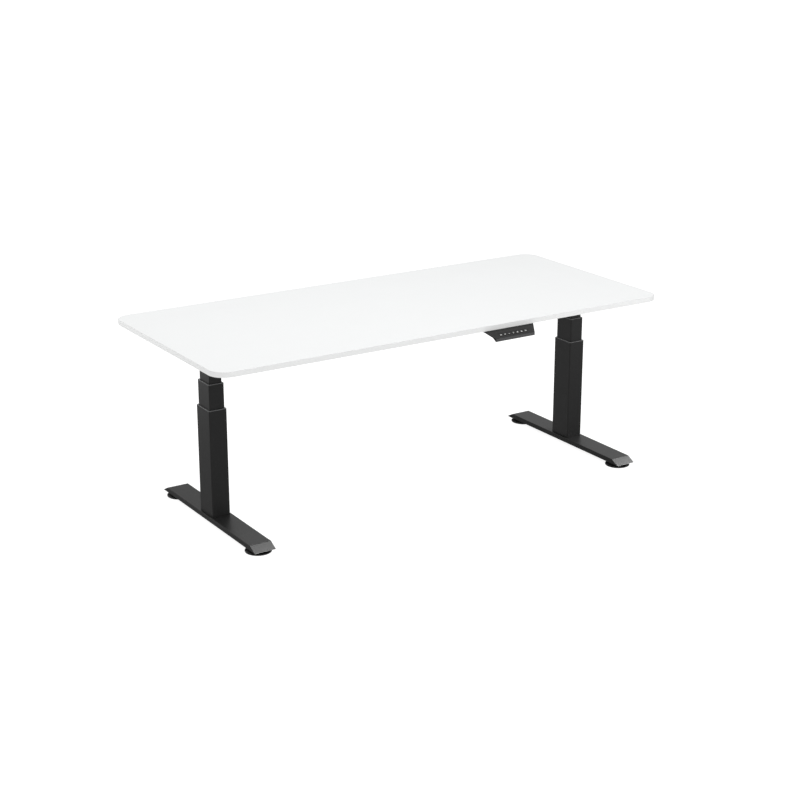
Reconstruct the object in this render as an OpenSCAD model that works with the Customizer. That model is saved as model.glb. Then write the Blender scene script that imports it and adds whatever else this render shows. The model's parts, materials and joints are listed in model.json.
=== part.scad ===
// Height adjustable standing desk: two telescopic columns of three stages, each driven by
// its own motor, worm gearbox and pair of screws.
// Origin on the floor, at the centre of the overall outline. +X runs to the user's right,
// -Y is the user's side and +Z is up. Millimetres.

/* [Desktop] */
// Width of the desktop
desk_w = 1800; // [1400:10:2000]
// Depth of the desktop
desk_d = 800; // [700:10:900]
// Thickness of the desktop
desk_t = 18; // [18:1:30]
// Corner radius of the desktop
desk_r = 60; // [20:5:90]
// Thickness of the edge band
band_t = 2; // [1:0.5:3]

/* [Columns] */
// How far each moving stage stands above its lowest position
stage_lift = 70; // [0:5:280]
// Travel of each moving stage
stage_travel = 280; // [200:10:280]
// Distance of a column's axis from the desktop's end
column_inset = 145; // [120:5:200]
// How far the columns stand in front of the desktop's centre line
column_fwd = 58; // [0:2:80]
// Width of the outer tube, across the desk
outer_w = 66; // [66:1:72]
// Depth of the outer tube, along the foot
outer_d = 96; // [96:1:110]
// Length of the outer tube
outer_len = 378; // [378:1:500]

/* [Feet] */
// Length of a foot
foot_len = 690; // [600:5:760]
// Width of a foot
foot_w = 80; // [76:1:100]
// Height of a foot's steel channel
foot_h = 18; // [18:1:20]
// Length of the slope at each end of a foot
foot_slope = 35; // [20:1:45]
// How far the feet's middle lies in front of the desktop's centre line
foot_fwd = 72; // [0:2:80]
// Radius of a levelling pad
pad_r = 45; // [30:1:48]
// Distance of a levelling pad's axis from the foot's end
pad_inset = 50; // [48:1:60]

/* [Keypad] */
// Width of the keypad where it meets the desktop's edge
keypad_w = 208; // [190:2:230]
// How far the keypad reaches in front of the desktop
keypad_reach = 40; // [36:1:48]
// Distance of the keypad's middle to the right of the desktop's centre
keypad_x = 218; // [-300:1:300]
// Distance between neighbouring buttons
button_pitch = 17.4; // [17:0.1:19]

/* [Hidden] */

eps = 0.5;
round_fn = 64;

// Frame of reference: the desktop's centre lies this far behind the origin.
desk_y = keypad_reach / 2;

// Clearances
slide_gap = 0.3;
thread_gap = 0.3;

// Levelling feet and foot channel, from the floor up
pad_h = 10;
foot_clear = 14;
foot_top = foot_clear + foot_h;
foot_wall = 3;
foot_hole_gap = 0.5;
stud_r = 5;
stud_top = foot_top - foot_wall - slide_gap;
stud_hex_h = 3;
stud_base_r = 6.7;
stud_socket_z = 4;
stud_hex_r = 8;
stud_lift = 0.4;
pad_rim_h = 3.5;
pad_neck = 15;
boss_r = 12;
bolt_r = 4;
bolt_x = 20;
bolt_y = 32;
bolt_head_r = 7;
bolt_head_h = 5;

// Telescopic column, from the foot up
tube_wall = 2;
stage_step = 10;
tube_r = 5;
outer_top = foot_top + outer_len;
plate_t = 6;
middle_w = outer_w - stage_step;
middle_d = outer_d - stage_step;
inner_w = middle_w - stage_step;
inner_d = middle_d - stage_step;
stage_show = 19;
stop_gap = 4;
bridge_t = 8;
bridge_gap = 2;
middle_top = outer_top + stage_show + stage_lift;
middle_bottom = foot_top + plate_t + stop_gap + stage_lift;
inner_bottom = middle_bottom + bridge_t + stop_gap + stage_lift;
collar_t = 2;
glide_len = 40;
shoe_len = 38;

// Head of the column, up to the underside of the desktop
head_gap = 5;
head_z = middle_top + head_gap + stage_lift;
head_t = 4;
head_h = 44;
under_z = head_z + head_h;
desk_h = under_z + desk_t;

// Screws, nuts and their tubes, on the column's axis
support_r = 14;
support_bore = 12;
carrier_r = 19;
carrier_bore = 16;
nut_h = 26;
flange_h = 6;
upper_nut_h = 16;
upper_screw_r = 6;
lower_screw_r = 10;
lower_screw_bore = 6.6;
collar_r = 15;
collar_h = 6;
collar_drop = 2;
carrier_drop = 21;
nut_drop = 16;
lower_screw_drop = 4;
lower_screw_tail = 27;
upper_screw_tail = 22;
carrier_top = middle_top - carrier_drop;
lower_nut_top = outer_top - nut_drop;
lower_screw_top = carrier_top - lower_screw_drop;
lower_screw_bottom = lower_nut_top - nut_h - lower_screw_tail - (stage_travel - stage_lift);
upper_screw_bottom = carrier_top - upper_screw_tail - (stage_travel - stage_lift);

// Gearbox and motor, on top of the column
gear_floor = head_z + head_t;
gear_h = 32;
gear_top = gear_floor + gear_h;
gear_x = 33;
gear_front = 31;
gear_back = 50;
gear_wall = 4;
gear_room = 2;
gear_cover_t = 3;
wheel_r = 22;
wheel_t = 12;
wheel_teeth = 30;
tooth_h = 1.8;
tooth_root = 1.5;
tooth_tip = 0.7;
worm_r = 6.5;
worm_half = 19;
worm_z = gear_floor + wheel_t;
worm_y = wheel_r + worm_r + slide_gap;
journal_r = 5;
journal_fit = 0.05;
bearing_r = 13;
lower_bearing_h = 5;
upper_bearing_h = 6;
bearing_lift = 1;
upper_bearing_r = bearing_r - 1;
upper_bearing_z = worm_z + wheel_t / 2 + bearing_lift;
gear_collar_t = 4;
motor_r = 26;
motor_len = 92;
motor_wall = 2;
motor_end = 3;
motor_boss_r = 14;
motor_boss_h = 5;
rotor_r = 18;
rotor_inset = 18;
shaft_r = 4;
shaft_back = 26;
shaft_inset = 6;

// Frame under the desktop
column_x = desk_w / 2 - column_inset;
head_out = 45;
head_hole_gap = 3;
rail_w = 20;
rail_h = 33;
rail_wall = 2;
rail_y = 84;
rail_len = 455;
sleeve_half = column_x - rail_len + 60;
sleeve_gap = 0.2;
bracket_t = 4;
bracket_flange = 40;
bracket_len = 600;
bracket_tip = 12;
rubber_t = 3;
rubber_r = 9;
screw_r = 2.5;
screw_head_r = 4.6;
screw_head_h = 2.6;
screw_depth = 12;
screw_fit = 0.1;
screw_hole_gap = 0.6;
screw_plate_gap = 0.3;
bracket_screw_x = -head_out - bracket_flange / 2 - 2;
bracket_screw_y = [-270, -150, 0, 150, 270];
bracket_bolt_y = [-80, -40, 40, 80];
bracket_bolt_z = head_z + 20;
frame_bolt_r = 3;
frame_bolt_len = 14;
frame_bolt_head_r = 5.5;
frame_bolt_head_h = 4;
frame_bolt_hole_r = 3.3;
frame_thread_hole_r = 3.1;
lock_bolt_inset = [20, 40];

// Keypad
keypad_drop = 20;
keypad_lip = 10;
keypad_taper = 23;
keypad_face_t = 3;
keypad_face_back = 8;
keypad_body_w = 156;
keypad_edge_h = 14.5;
keypad_back = 58;
keypad_back_h = 12;
keypad_chin = 12;
keypad_wall = 2;
keypad_screw_x = 60;
keypad_screw_y = 38;
keypad_tilt = atan(keypad_drop / keypad_reach);
button_w = 12;
button_d = 9;
button_h = 5;
button_r = 2;
button_rise = 0.8;
button_row = 0.64;
button_count = 7;

// Control box
box_w = 250;
box_d = 96;
box_h = 34;
box_wall = 2.5;
box_x = -170;
box_y = 190;
lid_t = 2;
ear_w = 14;
box_screw_y = 30;
board_t = 1.6;
board_gap = 6;
post_r = 3;
post_h = 5;
post_x = box_w / 2 - 12;
post_y = [-25, 38];
part_x = [-70, -20, 30];
part_w = 24;
part_h = 17.4;
keypad_board = [140, 18];
keypad_board_y = -7;
keypad_board_gap = 3;
// Plug sockets: place along the box, width and height of each opening
socket_depth = 13;
socket_wall = 2;
sockets = [[-95, 20, 20], [-50, 20, 20], [-5, 14, 12], [60, 30, 22]];

// ---------- shared shapes ----------

// The desktop's own frame: its centre line over the origin
module desk_frame() {
    translate([0, desk_y, 0]) children();
}

// A column's own frame: its axis at X = Y = 0, with +X towards the desk's middle
module column(side) {
    mirror([side > 0 ? 1 : 0, 0, 0])
        translate([-column_x, desk_y - column_fwd, 0]) children();
}

module both_columns() {
    for (side = [-1, 1]) column(side) children();
}

// A foot's own frame: its middle at X = Y = 0
module foot_frame(side) {
    translate([side * column_x, desk_y - foot_fwd, 0]) children();
}

module rounded_rect(w, d, r) {
    square([w - 2 * r, d], center = true);
    square([w, d - 2 * r], center = true);
    for (x = [-1, 1], y = [-1, 1])
        translate([x * (w / 2 - r), y * (d / 2 - r)]) circle(r, $fn = round_fn);
}

module rounded_block(w, d, r, z0, z1) {
    translate([0, 0, z0]) linear_extrude(z1 - z0) rounded_rect(w, d, r);
}

module rounded_pipe(w, d, r, wall, z0, z1) {
    difference() {
        rounded_block(w, d, r, z0, z1);
        rounded_block(w - 2 * wall, d - 2 * wall, r - wall, z0 - eps, z1 + eps);
    }
}

module rod(r, z0, z1) {
    translate([0, 0, z0]) cylinder(h = z1 - z0, r = r, $fn = round_fn);
}

module pipe(r, bore, z0, z1) {
    difference() {
        rod(r, z0, z1);
        rod(bore, z0 - eps, z1 + eps);
    }
}

// A block given by its lowest and highest corners
module block(low, high) {
    translate(low) cube(high - low);
}

// A rod along X
module rod_x(r, x0, x1) {
    translate([x0, 0, 0]) rotate([0, 90, 0]) cylinder(h = x1 - x0, r = r, $fn = round_fn);
}

// A rod along Y
module rod_y(r, y0, y1) {
    translate([0, y0, 0]) rotate([-90, 0, 0]) cylinder(h = y1 - y0, r = r, $fn = round_fn);
}

// ---------- desktop ----------

module desk_screw_places() {
    both_columns() for (y = bracket_screw_y)
        translate([bracket_screw_x, column_fwd + y, 0]) children();
}

module box_screw_places() {
    for (x = [-1, 1], y = [-1, 1])
        translate([box_x + x * (box_w / 2 + ear_w / 2), desk_y + box_y + y * box_screw_y, 0])
            children();
}

module keypad_screw_places() {
    for (x = [-1, 1])
        translate([keypad_x + x * keypad_screw_x, desk_y - desk_d / 2 + keypad_screw_y, 0])
            children();
}

module screw_holes(r) {
    desk_screw_places() rod(r, under_z - eps, under_z + screw_depth + 1);
    box_screw_places() rod(r, under_z - eps, under_z + screw_depth + 1);
    keypad_screw_places() rod(r, under_z - eps, under_z + screw_depth + 1);
}

module desktop_panel() {
    color("white") difference() {
        desk_frame() rounded_block(desk_w - 2 * band_t, desk_d - 2 * band_t,
                                   desk_r - band_t, under_z, desk_h);
        screw_holes(screw_r + screw_fit);
    }
}

module edge_band() {
    color("gainsboro") desk_frame() rounded_pipe(desk_w, desk_d, desk_r, band_t, under_z, desk_h);
}

// A wood screw whose head seats at height z
module wood_screw(z) {
    rod(screw_head_r, z - screw_head_h, z);
    rod(screw_r, z, under_z + screw_depth);
}

module wood_screws() {
    color("silver") {
        desk_screw_places() wood_screw(under_z - rubber_t - bracket_t);
        box_screw_places() wood_screw(under_z - lid_t);
        keypad_screw_places() wood_screw(under_z - keypad_wall);
    }
}

module damping_pads() {
    color("dimgray") desk_screw_places()
        pipe(rubber_r, screw_r + screw_hole_gap, under_z - rubber_t, under_z);
}

// ---------- frame under the desktop ----------

// The upright web of a side bracket, seen from the end of the desk
module bracket_web() {
    top = under_z - rubber_t;
    polygon([
        [column_fwd - bracket_len / 2, top - bracket_tip],
        [-rail_y - rail_w, head_z],
        [rail_y + rail_w, head_z],
        [column_fwd + bracket_len / 2, top - bracket_tip],
        [column_fwd + bracket_len / 2, top],
        [column_fwd - bracket_len / 2, top]
    ]);
}

module bracket_bolt_places() {
    for (y = bracket_bolt_y) translate([0, y, bracket_bolt_z]) children();
}

module side_bracket() {
    top = under_z - rubber_t;
    outer = -head_out - bracket_t;
    difference() {
        union() {
            translate([outer, 0, 0]) rotate([90, 0, 90]) linear_extrude(bracket_t) bracket_web();
            block([outer - bracket_flange, column_fwd - bracket_len / 2, top - bracket_t],
                  [outer + eps, column_fwd + bracket_len / 2, top]);
        }
        for (y = bracket_screw_y)
            translate([bracket_screw_x, column_fwd + y, 0])
                rod(screw_r + screw_hole_gap, top - bracket_t - eps, top + eps);
        bracket_bolt_places() rod_x(frame_bolt_hole_r, outer - eps, -head_out + eps);
    }
}

module left_side_bracket() { color("black") column(-1) side_bracket(); }
module right_side_bracket() { color("black") column(1) side_bracket(); }

module rail(side_y) {
    y0 = side_y > 0 ? rail_y : -rail_y - rail_w;
    z0 = head_z + head_t;
    difference() {
        block([-head_out + head_t, y0, z0], [rail_len, y0 + rail_w, z0 + rail_h]);
        block([-head_out + head_t + rail_wall, y0 + rail_wall, z0 + rail_wall],
              [rail_len + eps, y0 + rail_w - rail_wall, z0 + rail_h - rail_wall]);
    }
}

module head_frame() {
    difference() {
        union() {
            block([-head_out, -rail_y - rail_w, head_z],
                  [gear_x, rail_y + rail_w, head_z + head_t]);
            block([-head_out, -rail_y - rail_w, head_z],
                  [-head_out + head_t, rail_y + rail_w, head_z + head_t + rail_h]);
            rail(-1);
            rail(1);
        }
        rod(upper_screw_r + head_hole_gap, head_z - eps, head_z + head_t + eps);
        bracket_bolt_places()
            rod_x(frame_thread_hole_r, -head_out - eps, -head_out + head_t + eps);
    }
}

module left_head_frame() { color("black") column(-1) head_frame(); }
module right_head_frame() { color("black") column(1) head_frame(); }

// Sleeves that join the two head frames; the rails slide in them while the frame is built
module centre_rails() {
    y0 = rail_y - sleeve_gap;
    y1 = rail_y + rail_w + sleeve_gap;
    z0 = head_z + head_t - sleeve_gap;
    z1 = z0 + rail_h + 2 * sleeve_gap;
    color("black") desk_frame() translate([0, -column_fwd, 0]) for (side = [-1, 1])
        mirror([0, side < 0 ? 1 : 0, 0]) difference() {
            block([-sleeve_half, y0 - rail_wall, z0 - rail_wall],
                  [sleeve_half, y1 + rail_wall, z1 + rail_wall]);
            block([-sleeve_half - eps, y0, z0], [sleeve_half + eps, y1, z1]);
        }
}

module frame_bolt() {
    rod_x(frame_bolt_head_r, -frame_bolt_head_h, 0);
    rod_x(frame_bolt_r, 0, frame_bolt_len);
}

// Bolts that hold the side brackets to the head frames, and lock the sleeves on the rails
module frame_bolts() {
    lock_y = rail_y + rail_w + sleeve_gap + rail_wall;
    color("silver") both_columns() {
        bracket_bolt_places() translate([-head_out - bracket_t, 0, 0]) frame_bolt();
        for (side = [-1, 1], x = lock_bolt_inset)
            mirror([0, side < 0 ? 1 : 0, 0])
                translate([rail_len - x, 0, head_z + head_t + rail_h / 2])
                    rod_y(frame_bolt_head_r, lock_y, lock_y + frame_bolt_head_h);
    }
}

// ---------- telescopic columns ----------

module outer_tube() {
    rounded_pipe(outer_w, outer_d, tube_r, tube_wall, foot_top, outer_top);
    difference() {
        rounded_block(outer_w - 2 * tube_wall, outer_d - 2 * tube_wall, tube_r - tube_wall,
                      foot_top, foot_top + plate_t);
        for (x = [-1, 1], y = [-1, 1])
            translate([x * bolt_x, y * bolt_y, 0])
                rod(bolt_r + screw_fit, foot_top - eps, foot_top + plate_t + eps);
    }
}

module left_outer_tube() { color("#2b2c2c") column(-1) outer_tube(); }
module right_outer_tube() { color("#2b2c2c") column(1) outer_tube(); }

module middle_tube() {
    rounded_pipe(middle_w, middle_d, tube_r, tube_wall, middle_bottom, middle_top);
    difference() {
        rounded_block(middle_w - 2 * tube_wall, middle_d - 2 * tube_wall, tube_r - tube_wall,
                      middle_bottom, middle_bottom + bridge_t);
        rod(support_r + bridge_gap, middle_bottom - eps, middle_bottom + bridge_t + eps);
    }
}

module left_middle_tube() { color("#2b2c2c") column(-1) middle_tube(); }
module right_middle_tube() { color("#2b2c2c") column(1) middle_tube(); }

module inner_tube() {
    rounded_pipe(inner_w, inner_d, tube_r, tube_wall, inner_bottom, head_z);
}

module left_inner_tube() { color("#2b2c2c") column(-1) inner_tube(); }
module right_inner_tube() { color("#2b2c2c") column(1) inner_tube(); }

// Plastic liner between a tube of size w x d and the next one in it, with a collar on top
module liner(w, d, top) {
    bore_w = w - stage_step + 2 * slide_gap;
    bore_d = d - stage_step + 2 * slide_gap;
    difference() {
        union() {
            rounded_block(w, d, tube_r, top, top + collar_t);
            rounded_block(w - 2 * tube_wall, d - 2 * tube_wall, tube_r - tube_wall,
                          top - glide_len, top + collar_t);
        }
        rounded_block(bore_w, bore_d, tube_r, top - glide_len - eps, top + collar_t + eps);
    }
}

// Plastic shoe round the lower end of a tube of size w x d
module shoe(w, d, bottom) {
    reach = 2 * (stage_step / 2 - tube_wall - slide_gap);
    difference() {
        rounded_block(w + reach, d + reach, tube_r - tube_wall - slide_gap,
                      bottom, bottom + shoe_len);
        rounded_block(w, d, tube_r, bottom - eps, bottom + shoe_len + eps);
    }
}

module outer_tube_glides() {
    color("black") both_columns() liner(outer_w, outer_d, outer_top);
}

module middle_tube_glides() {
    liner(middle_w, middle_d, middle_top);
    shoe(middle_w, middle_d, middle_bottom);
}

module left_middle_tube_glides() { color("black") column(-1) middle_tube_glides(); }
module right_middle_tube_glides() { color("black") column(1) middle_tube_glides(); }

module inner_tube_glides() {
    color("black") both_columns() shoe(inner_w, inner_d, inner_bottom);
}

// ---------- screws and nuts ----------

module support_tubes() {
    color("silver") both_columns()
        pipe(support_r, support_bore, foot_top + plate_t, lower_nut_top - nut_h);
}

module lower_nuts() {
    color("ivory") both_columns()
        pipe(support_r, lower_screw_r + thread_gap, lower_nut_top - nut_h, lower_nut_top);
}

module carrier_tube() {
    pipe(carrier_r, carrier_bore, middle_bottom + bridge_t, carrier_top);
}

module left_carrier_tube() { color("silver") column(-1) carrier_tube(); }
module right_carrier_tube() { color("silver") column(1) carrier_tube(); }

module upper_nut() {
    difference() {
        union() {
            rod(carrier_r, carrier_top, carrier_top + flange_h);
            rod(collar_r, carrier_top, carrier_top + upper_nut_h);
        }
        rod(upper_screw_r + thread_gap, carrier_top - eps, carrier_top + upper_nut_h + eps);
    }
}

module left_upper_nut() { color("ivory") column(-1) upper_nut(); }
module right_upper_nut() { color("ivory") column(1) upper_nut(); }

module lower_spindle() {
    collar_top = lower_screw_top - collar_drop;
    difference() {
        union() {
            rod(lower_screw_r, lower_screw_bottom, lower_screw_top);
            rod(collar_r, collar_top - collar_h, collar_top);
        }
        rod(lower_screw_bore, lower_screw_bottom - eps, lower_screw_top + eps);
    }
}

module left_lower_spindle() { color("silver") column(-1) lower_spindle(); }
module right_lower_spindle() { color("silver") column(1) lower_spindle(); }

module upper_spindle() {
    rod(upper_screw_r, upper_screw_bottom, worm_z - wheel_t / 2);
    rod(journal_r, worm_z - wheel_t / 2, gear_top - bearing_lift);
}

module left_upper_spindle() { color("silver") column(-1) upper_spindle(); }
module right_upper_spindle() { color("silver") column(1) upper_spindle(); }

// ---------- gearboxes and motors ----------

module worm_wheel() {
    root = wheel_r - tooth_h;
    translate([0, 0, worm_z - wheel_t / 2]) linear_extrude(wheel_t) difference() {
        union() {
            circle(root, $fn = round_fn);
            for (i = [0 : wheel_teeth - 1]) rotate(i * 360 / wheel_teeth)
                polygon([[root - 1, -tooth_root], [wheel_r, -tooth_tip],
                         [wheel_r, tooth_tip], [root - 1, tooth_root]]);
        }
        circle(journal_r + journal_fit, $fn = round_fn);
    }
}

module left_worm_wheel() { color("goldenrod") column(-1) worm_wheel(); }
module right_worm_wheel() { color("goldenrod") column(1) worm_wheel(); }

// Worm, shaft and rotor core of a motor, on one axis
module motor_rotor() {
    translate([0, worm_y, worm_z]) {
        rod_x(shaft_r, -shaft_back, gear_x + motor_len - shaft_inset);
        rod_x(worm_r, -worm_half, worm_half);
        rod_x(rotor_r, gear_x + rotor_inset, gear_x + motor_len - rotor_inset);
    }
}

module left_motor_rotor() { color("silver") column(-1) motor_rotor(); }
module right_motor_rotor() { color("silver") column(1) motor_rotor(); }

module gearbox_housings() {
    color("dimgray") both_columns() difference() {
        block([-gear_x, -gear_front, gear_floor], [gear_x, gear_back, gear_top]);
        rod(wheel_r + gear_room, gear_floor + gear_wall, gear_top + eps);
        rod(bearing_r, gear_floor - eps, gear_floor + gear_wall + eps);
        translate([0, worm_y, worm_z])
            rod_x(worm_r + gear_room, -gear_x + gear_wall, gear_x + eps);
    }
}

// Cover with a collar that holds the upper bearing
module gearbox_covers() {
    color("gray") both_columns() {
        block([-gear_x, -gear_front, gear_top], [gear_x, gear_back, gear_top + gear_cover_t]);
        pipe(upper_bearing_r + gear_collar_t, upper_bearing_r, upper_bearing_z, gear_top + eps);
    }
}

// Ring bearings under and over each worm wheel
module gearbox_bearings() {
    color("silver") both_columns() {
        pipe(bearing_r, upper_screw_r + journal_fit, gear_floor, gear_floor + lower_bearing_h);
        pipe(upper_bearing_r, journal_r + journal_fit,
             upper_bearing_z, upper_bearing_z + upper_bearing_h);
    }
}

module motor_cans() {
    color("black") both_columns() translate([0, worm_y, worm_z]) difference() {
        union() {
            rod_x(motor_r, gear_x, gear_x + motor_len);
            rod_x(motor_boss_r, gear_x + motor_len, gear_x + motor_len + motor_boss_h);
        }
        rod_x(motor_r - motor_wall, gear_x + motor_end, gear_x + motor_len - motor_end);
        rod_x(shaft_r + bearing_lift, gear_x - eps, gear_x + motor_len);
    }
}

// ---------- feet ----------

// Half the foot's length at height z, with the sloping ends shrunk by a wall's thickness
function foot_half(z, inset) =
    let (run = foot_slope / foot_h)
    foot_len / 2 - inset * sqrt(1 + run * run) - (z - foot_clear) * run;

// Side view of a foot's channel, shrunk by a wall's thickness; the hollow is open below
module foot_profile(inset) {
    bottom = inset > 0 ? foot_clear - eps : foot_clear;
    top = foot_top - inset;
    polygon([[-foot_half(bottom, inset), bottom], [-foot_half(top, inset), top],
             [foot_half(top, inset), top], [foot_half(bottom, inset), bottom]]);
}

module foot_solid(w, inset) {
    translate([-w / 2, 0, 0]) rotate([90, 0, 90]) linear_extrude(w) foot_profile(inset);
}

module pad_places() {
    for (y = [-1, 1]) translate([0, y * (foot_len / 2 - pad_inset), 0]) children();
}

module foot_bolt_places() {
    for (x = [-1, 1], y = [-1, 1])
        translate([x * bolt_x, foot_fwd - column_fwd + y * bolt_y, 0]) children();
}

module foot() {
    difference() {
        foot_solid(foot_w, 0);
        foot_solid(foot_w - 2 * foot_wall, foot_wall);
        foot_bolt_places() rod(bolt_r + foot_hole_gap, foot_top - foot_wall - eps, foot_top + eps);
    }
    pad_places() pipe(boss_r, stud_r + thread_gap, foot_clear + 1, foot_top - foot_wall + eps);
}

module foot_bolts() {
    color("silver") for (side = [-1, 1]) foot_frame(side) foot_bolt_places() {
        rod(bolt_head_r, foot_top - foot_wall - bolt_head_h, foot_top - foot_wall);
        rod(bolt_r, foot_top - foot_wall, foot_top + plate_t - 1);
    }
}

// Levelling pad: a flat cone with a socket for the stud's round end
module pad() {
    difference() {
        rotate_extrude($fn = round_fn)
            polygon([[0, 0], [pad_r - 1, 0], [pad_r, 1], [pad_r, pad_rim_h],
                     [pad_r - 1.5, pad_rim_h + 1.5], [pad_r - pad_neck, pad_h], [0, pad_h]]);
        rod(stud_base_r + slide_gap, stud_socket_z, pad_h + eps);
    }
}

module stud() {
    rod(stud_base_r, stud_socket_z + slide_gap, pad_h - stud_lift);
    rod(stud_r, pad_h - 1, stud_top);
    translate([0, 0, pad_h + stud_lift]) cylinder(h = stud_hex_h, r = stud_hex_r, $fn = 6);
}

// A levelling foot's own frame, at the front (-1) or back (1) end of a foot
module foot_end(side, end) {
    foot_frame(side) translate([0, end * (foot_len / 2 - pad_inset), 0]) children();
}

module left_foot() { color("#3c3d3d") foot_frame(-1) foot(); }
module right_foot() { color("#3c3d3d") foot_frame(1) foot(); }
module left_front_pad() { color("black") foot_end(-1, -1) pad(); }
module left_back_pad() { color("black") foot_end(-1, 1) pad(); }
module right_front_pad() { color("black") foot_end(1, -1) pad(); }
module right_back_pad() { color("black") foot_end(1, 1) pad(); }
module left_front_stud() { color("silver") foot_end(-1, -1) stud(); }
module left_back_stud() { color("silver") foot_end(-1, 1) stud(); }
module right_front_stud() { color("silver") foot_end(1, -1) stud(); }
module right_back_stud() { color("silver") foot_end(1, 1) stud(); }

// ---------- keypad ----------

// The keypad's own frame: X = 0 at its middle, Y = 0 at the desktop's front edge and
// Z = 0 at the desktop's underside
module keypad_frame() {
    translate([keypad_x, desk_y - desk_d / 2, under_z]) children();
}

// Side view of the body: flat under the desktop, then the sloping face, the lip and the underside
module keypad_profile(inset) {
    polygon([
        [keypad_back - inset, -inset],
        [inset / 2, -inset],
        [-keypad_reach + inset, -keypad_drop - inset / 2],
        [-keypad_reach + inset, -keypad_drop - keypad_lip + inset],
        [-keypad_reach + keypad_chin, -keypad_drop - keypad_lip + inset],
        [0, -keypad_edge_h + inset],
        [keypad_back - inset, -keypad_back_h + inset]
    ]);
}

module keypad_body(inset) {
    w = keypad_body_w - 2 * inset;
    translate([-w / 2, 0, 0]) rotate([90, 0, 90]) linear_extrude(w) keypad_profile(inset);
}

// Side view of the face plate: a strip under the desktop, the slope and the lip
module keypad_face_profile() {
    polygon([
        [keypad_face_back, 0],
        [0, 0],
        [-keypad_reach, -keypad_drop],
        [-keypad_reach, -keypad_drop - keypad_lip],
        [-keypad_reach + keypad_face_t, -keypad_drop - keypad_lip],
        [-keypad_reach + keypad_face_t, -keypad_drop - keypad_face_t / 2],
        [0, -keypad_face_t],
        [keypad_face_back, -keypad_face_t]
    ]);
}

// Plan view of the face plate, which narrows towards the user
module keypad_face_plan() {
    back = keypad_w / 2;
    front = back - keypad_taper;
    polygon([[-back, keypad_face_back], [-back, 0], [-front, -keypad_reach - 1],
             [front, -keypad_reach - 1], [back, 0], [back, keypad_face_back]]);
}

module keypad_face() {
    intersection() {
        translate([-keypad_w / 2, 0, 0]) rotate([90, 0, 90])
            linear_extrude(keypad_w) keypad_face_profile();
        translate([0, 0, -keypad_back]) linear_extrude(2 * keypad_back) keypad_face_plan();
    }
}

// A button's own frame: on the sloping face, +Z out of it
module button_frame(index) {
    translate([(index - (button_count - 1) / 2) * button_pitch,
               -keypad_reach * button_row, -keypad_drop * button_row])
        rotate([keypad_tilt, 0, 0]) children();
}

module button_shape(w, d, z0, z1) {
    rounded_block(w, d, button_r, z0, z1);
}

module keypad_housing() {
    color("black") difference() {
        keypad_frame() difference() {
            union() {
                keypad_body(0);
                keypad_face();
            }
            keypad_body(keypad_wall);
            for (i = [0 : button_count - 1]) button_frame(i)
                button_shape(button_w + 2 * slide_gap, button_d + 2 * slide_gap,
                             -keypad_wall - 2, 2);
        }
        keypad_screw_places()
            rod(screw_r + screw_plate_gap, under_z - keypad_wall - eps, under_z + eps);
    }
}

module button(index) {
    keypad_frame() button_frame(index)
        button_shape(button_w, button_d, button_rise - button_h, button_rise);
}

module up_button() { color("black") button(0); }
module down_button() { color("black") button(1); }
module preset_button_1() { color("black") button(2); }
module preset_button_2() { color("black") button(3); }
module preset_button_3() { color("black") button(4); }
module preset_button_4() { color("black") button(5); }
module memory_button() { color("black") button(6); }

// ---------- control box ----------

module box_frame() {
    translate([box_x, desk_y + box_y, under_z - box_h]) children();
}

// A block at one socket, from depth y0 to y1 behind the box's front, extra mm larger all round
module socket_block(s, y0, y1, extra) {
    w = s[1] + extra;
    h = s[2] + extra;
    translate([s[0] - w / 2, -box_d / 2 + y0, (box_h - lid_t - h) / 2]) cube([w, y1 - y0, h]);
}

// Open tray with recesses for the motor, keypad and mains plugs in its front wall
module control_box_shell() {
    color("dimgray") box_frame() difference() {
        union() {
            difference() {
                block([-box_w / 2, -box_d / 2, 0], [box_w / 2, box_d / 2, box_h - lid_t]);
                block([-box_w / 2 + box_wall, -box_d / 2 + box_wall, box_wall],
                      [box_w / 2 - box_wall, box_d / 2 - box_wall, box_h]);
            }
            for (s = sockets) socket_block(s, 0, socket_depth + socket_wall, 2 * socket_wall);
            for (x = [-1, 1], y = post_y)
                translate([x * post_x, y, 0]) rod(post_r, box_wall - eps, post_h);
        }
        for (s = sockets) socket_block(s, -eps, socket_depth, 0);
    }
}

module control_box_lid() {
    color("dimgray") difference() {
        box_frame() block([-box_w / 2 - ear_w, -box_d / 2, box_h - lid_t],
                          [box_w / 2 + ear_w, box_d / 2, box_h]);
        box_screw_places() rod(screw_r + screw_plate_gap, under_z - lid_t - eps, under_z + eps);
    }
}

// Boards of the control box and of the keypad
module circuit_boards() {
    color("green") {
        box_frame() {
            block([-box_w / 2 + board_gap, -box_d / 2 + socket_depth + board_gap, post_h],
                  [box_w / 2 - board_gap, box_d / 2 - board_gap, post_h + board_t]);
            for (x = part_x)
                translate([x, 0, post_h + board_t]) cube([part_w, part_w, part_h]);
        }
        keypad_frame() button_frame((button_count - 1) / 2)
            translate([-keypad_board[0] / 2, keypad_board_y, -button_h - keypad_board_gap])
                cube([keypad_board[0], keypad_board[1], board_t]);
    }
}

// ---------- nodes ----------

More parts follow.
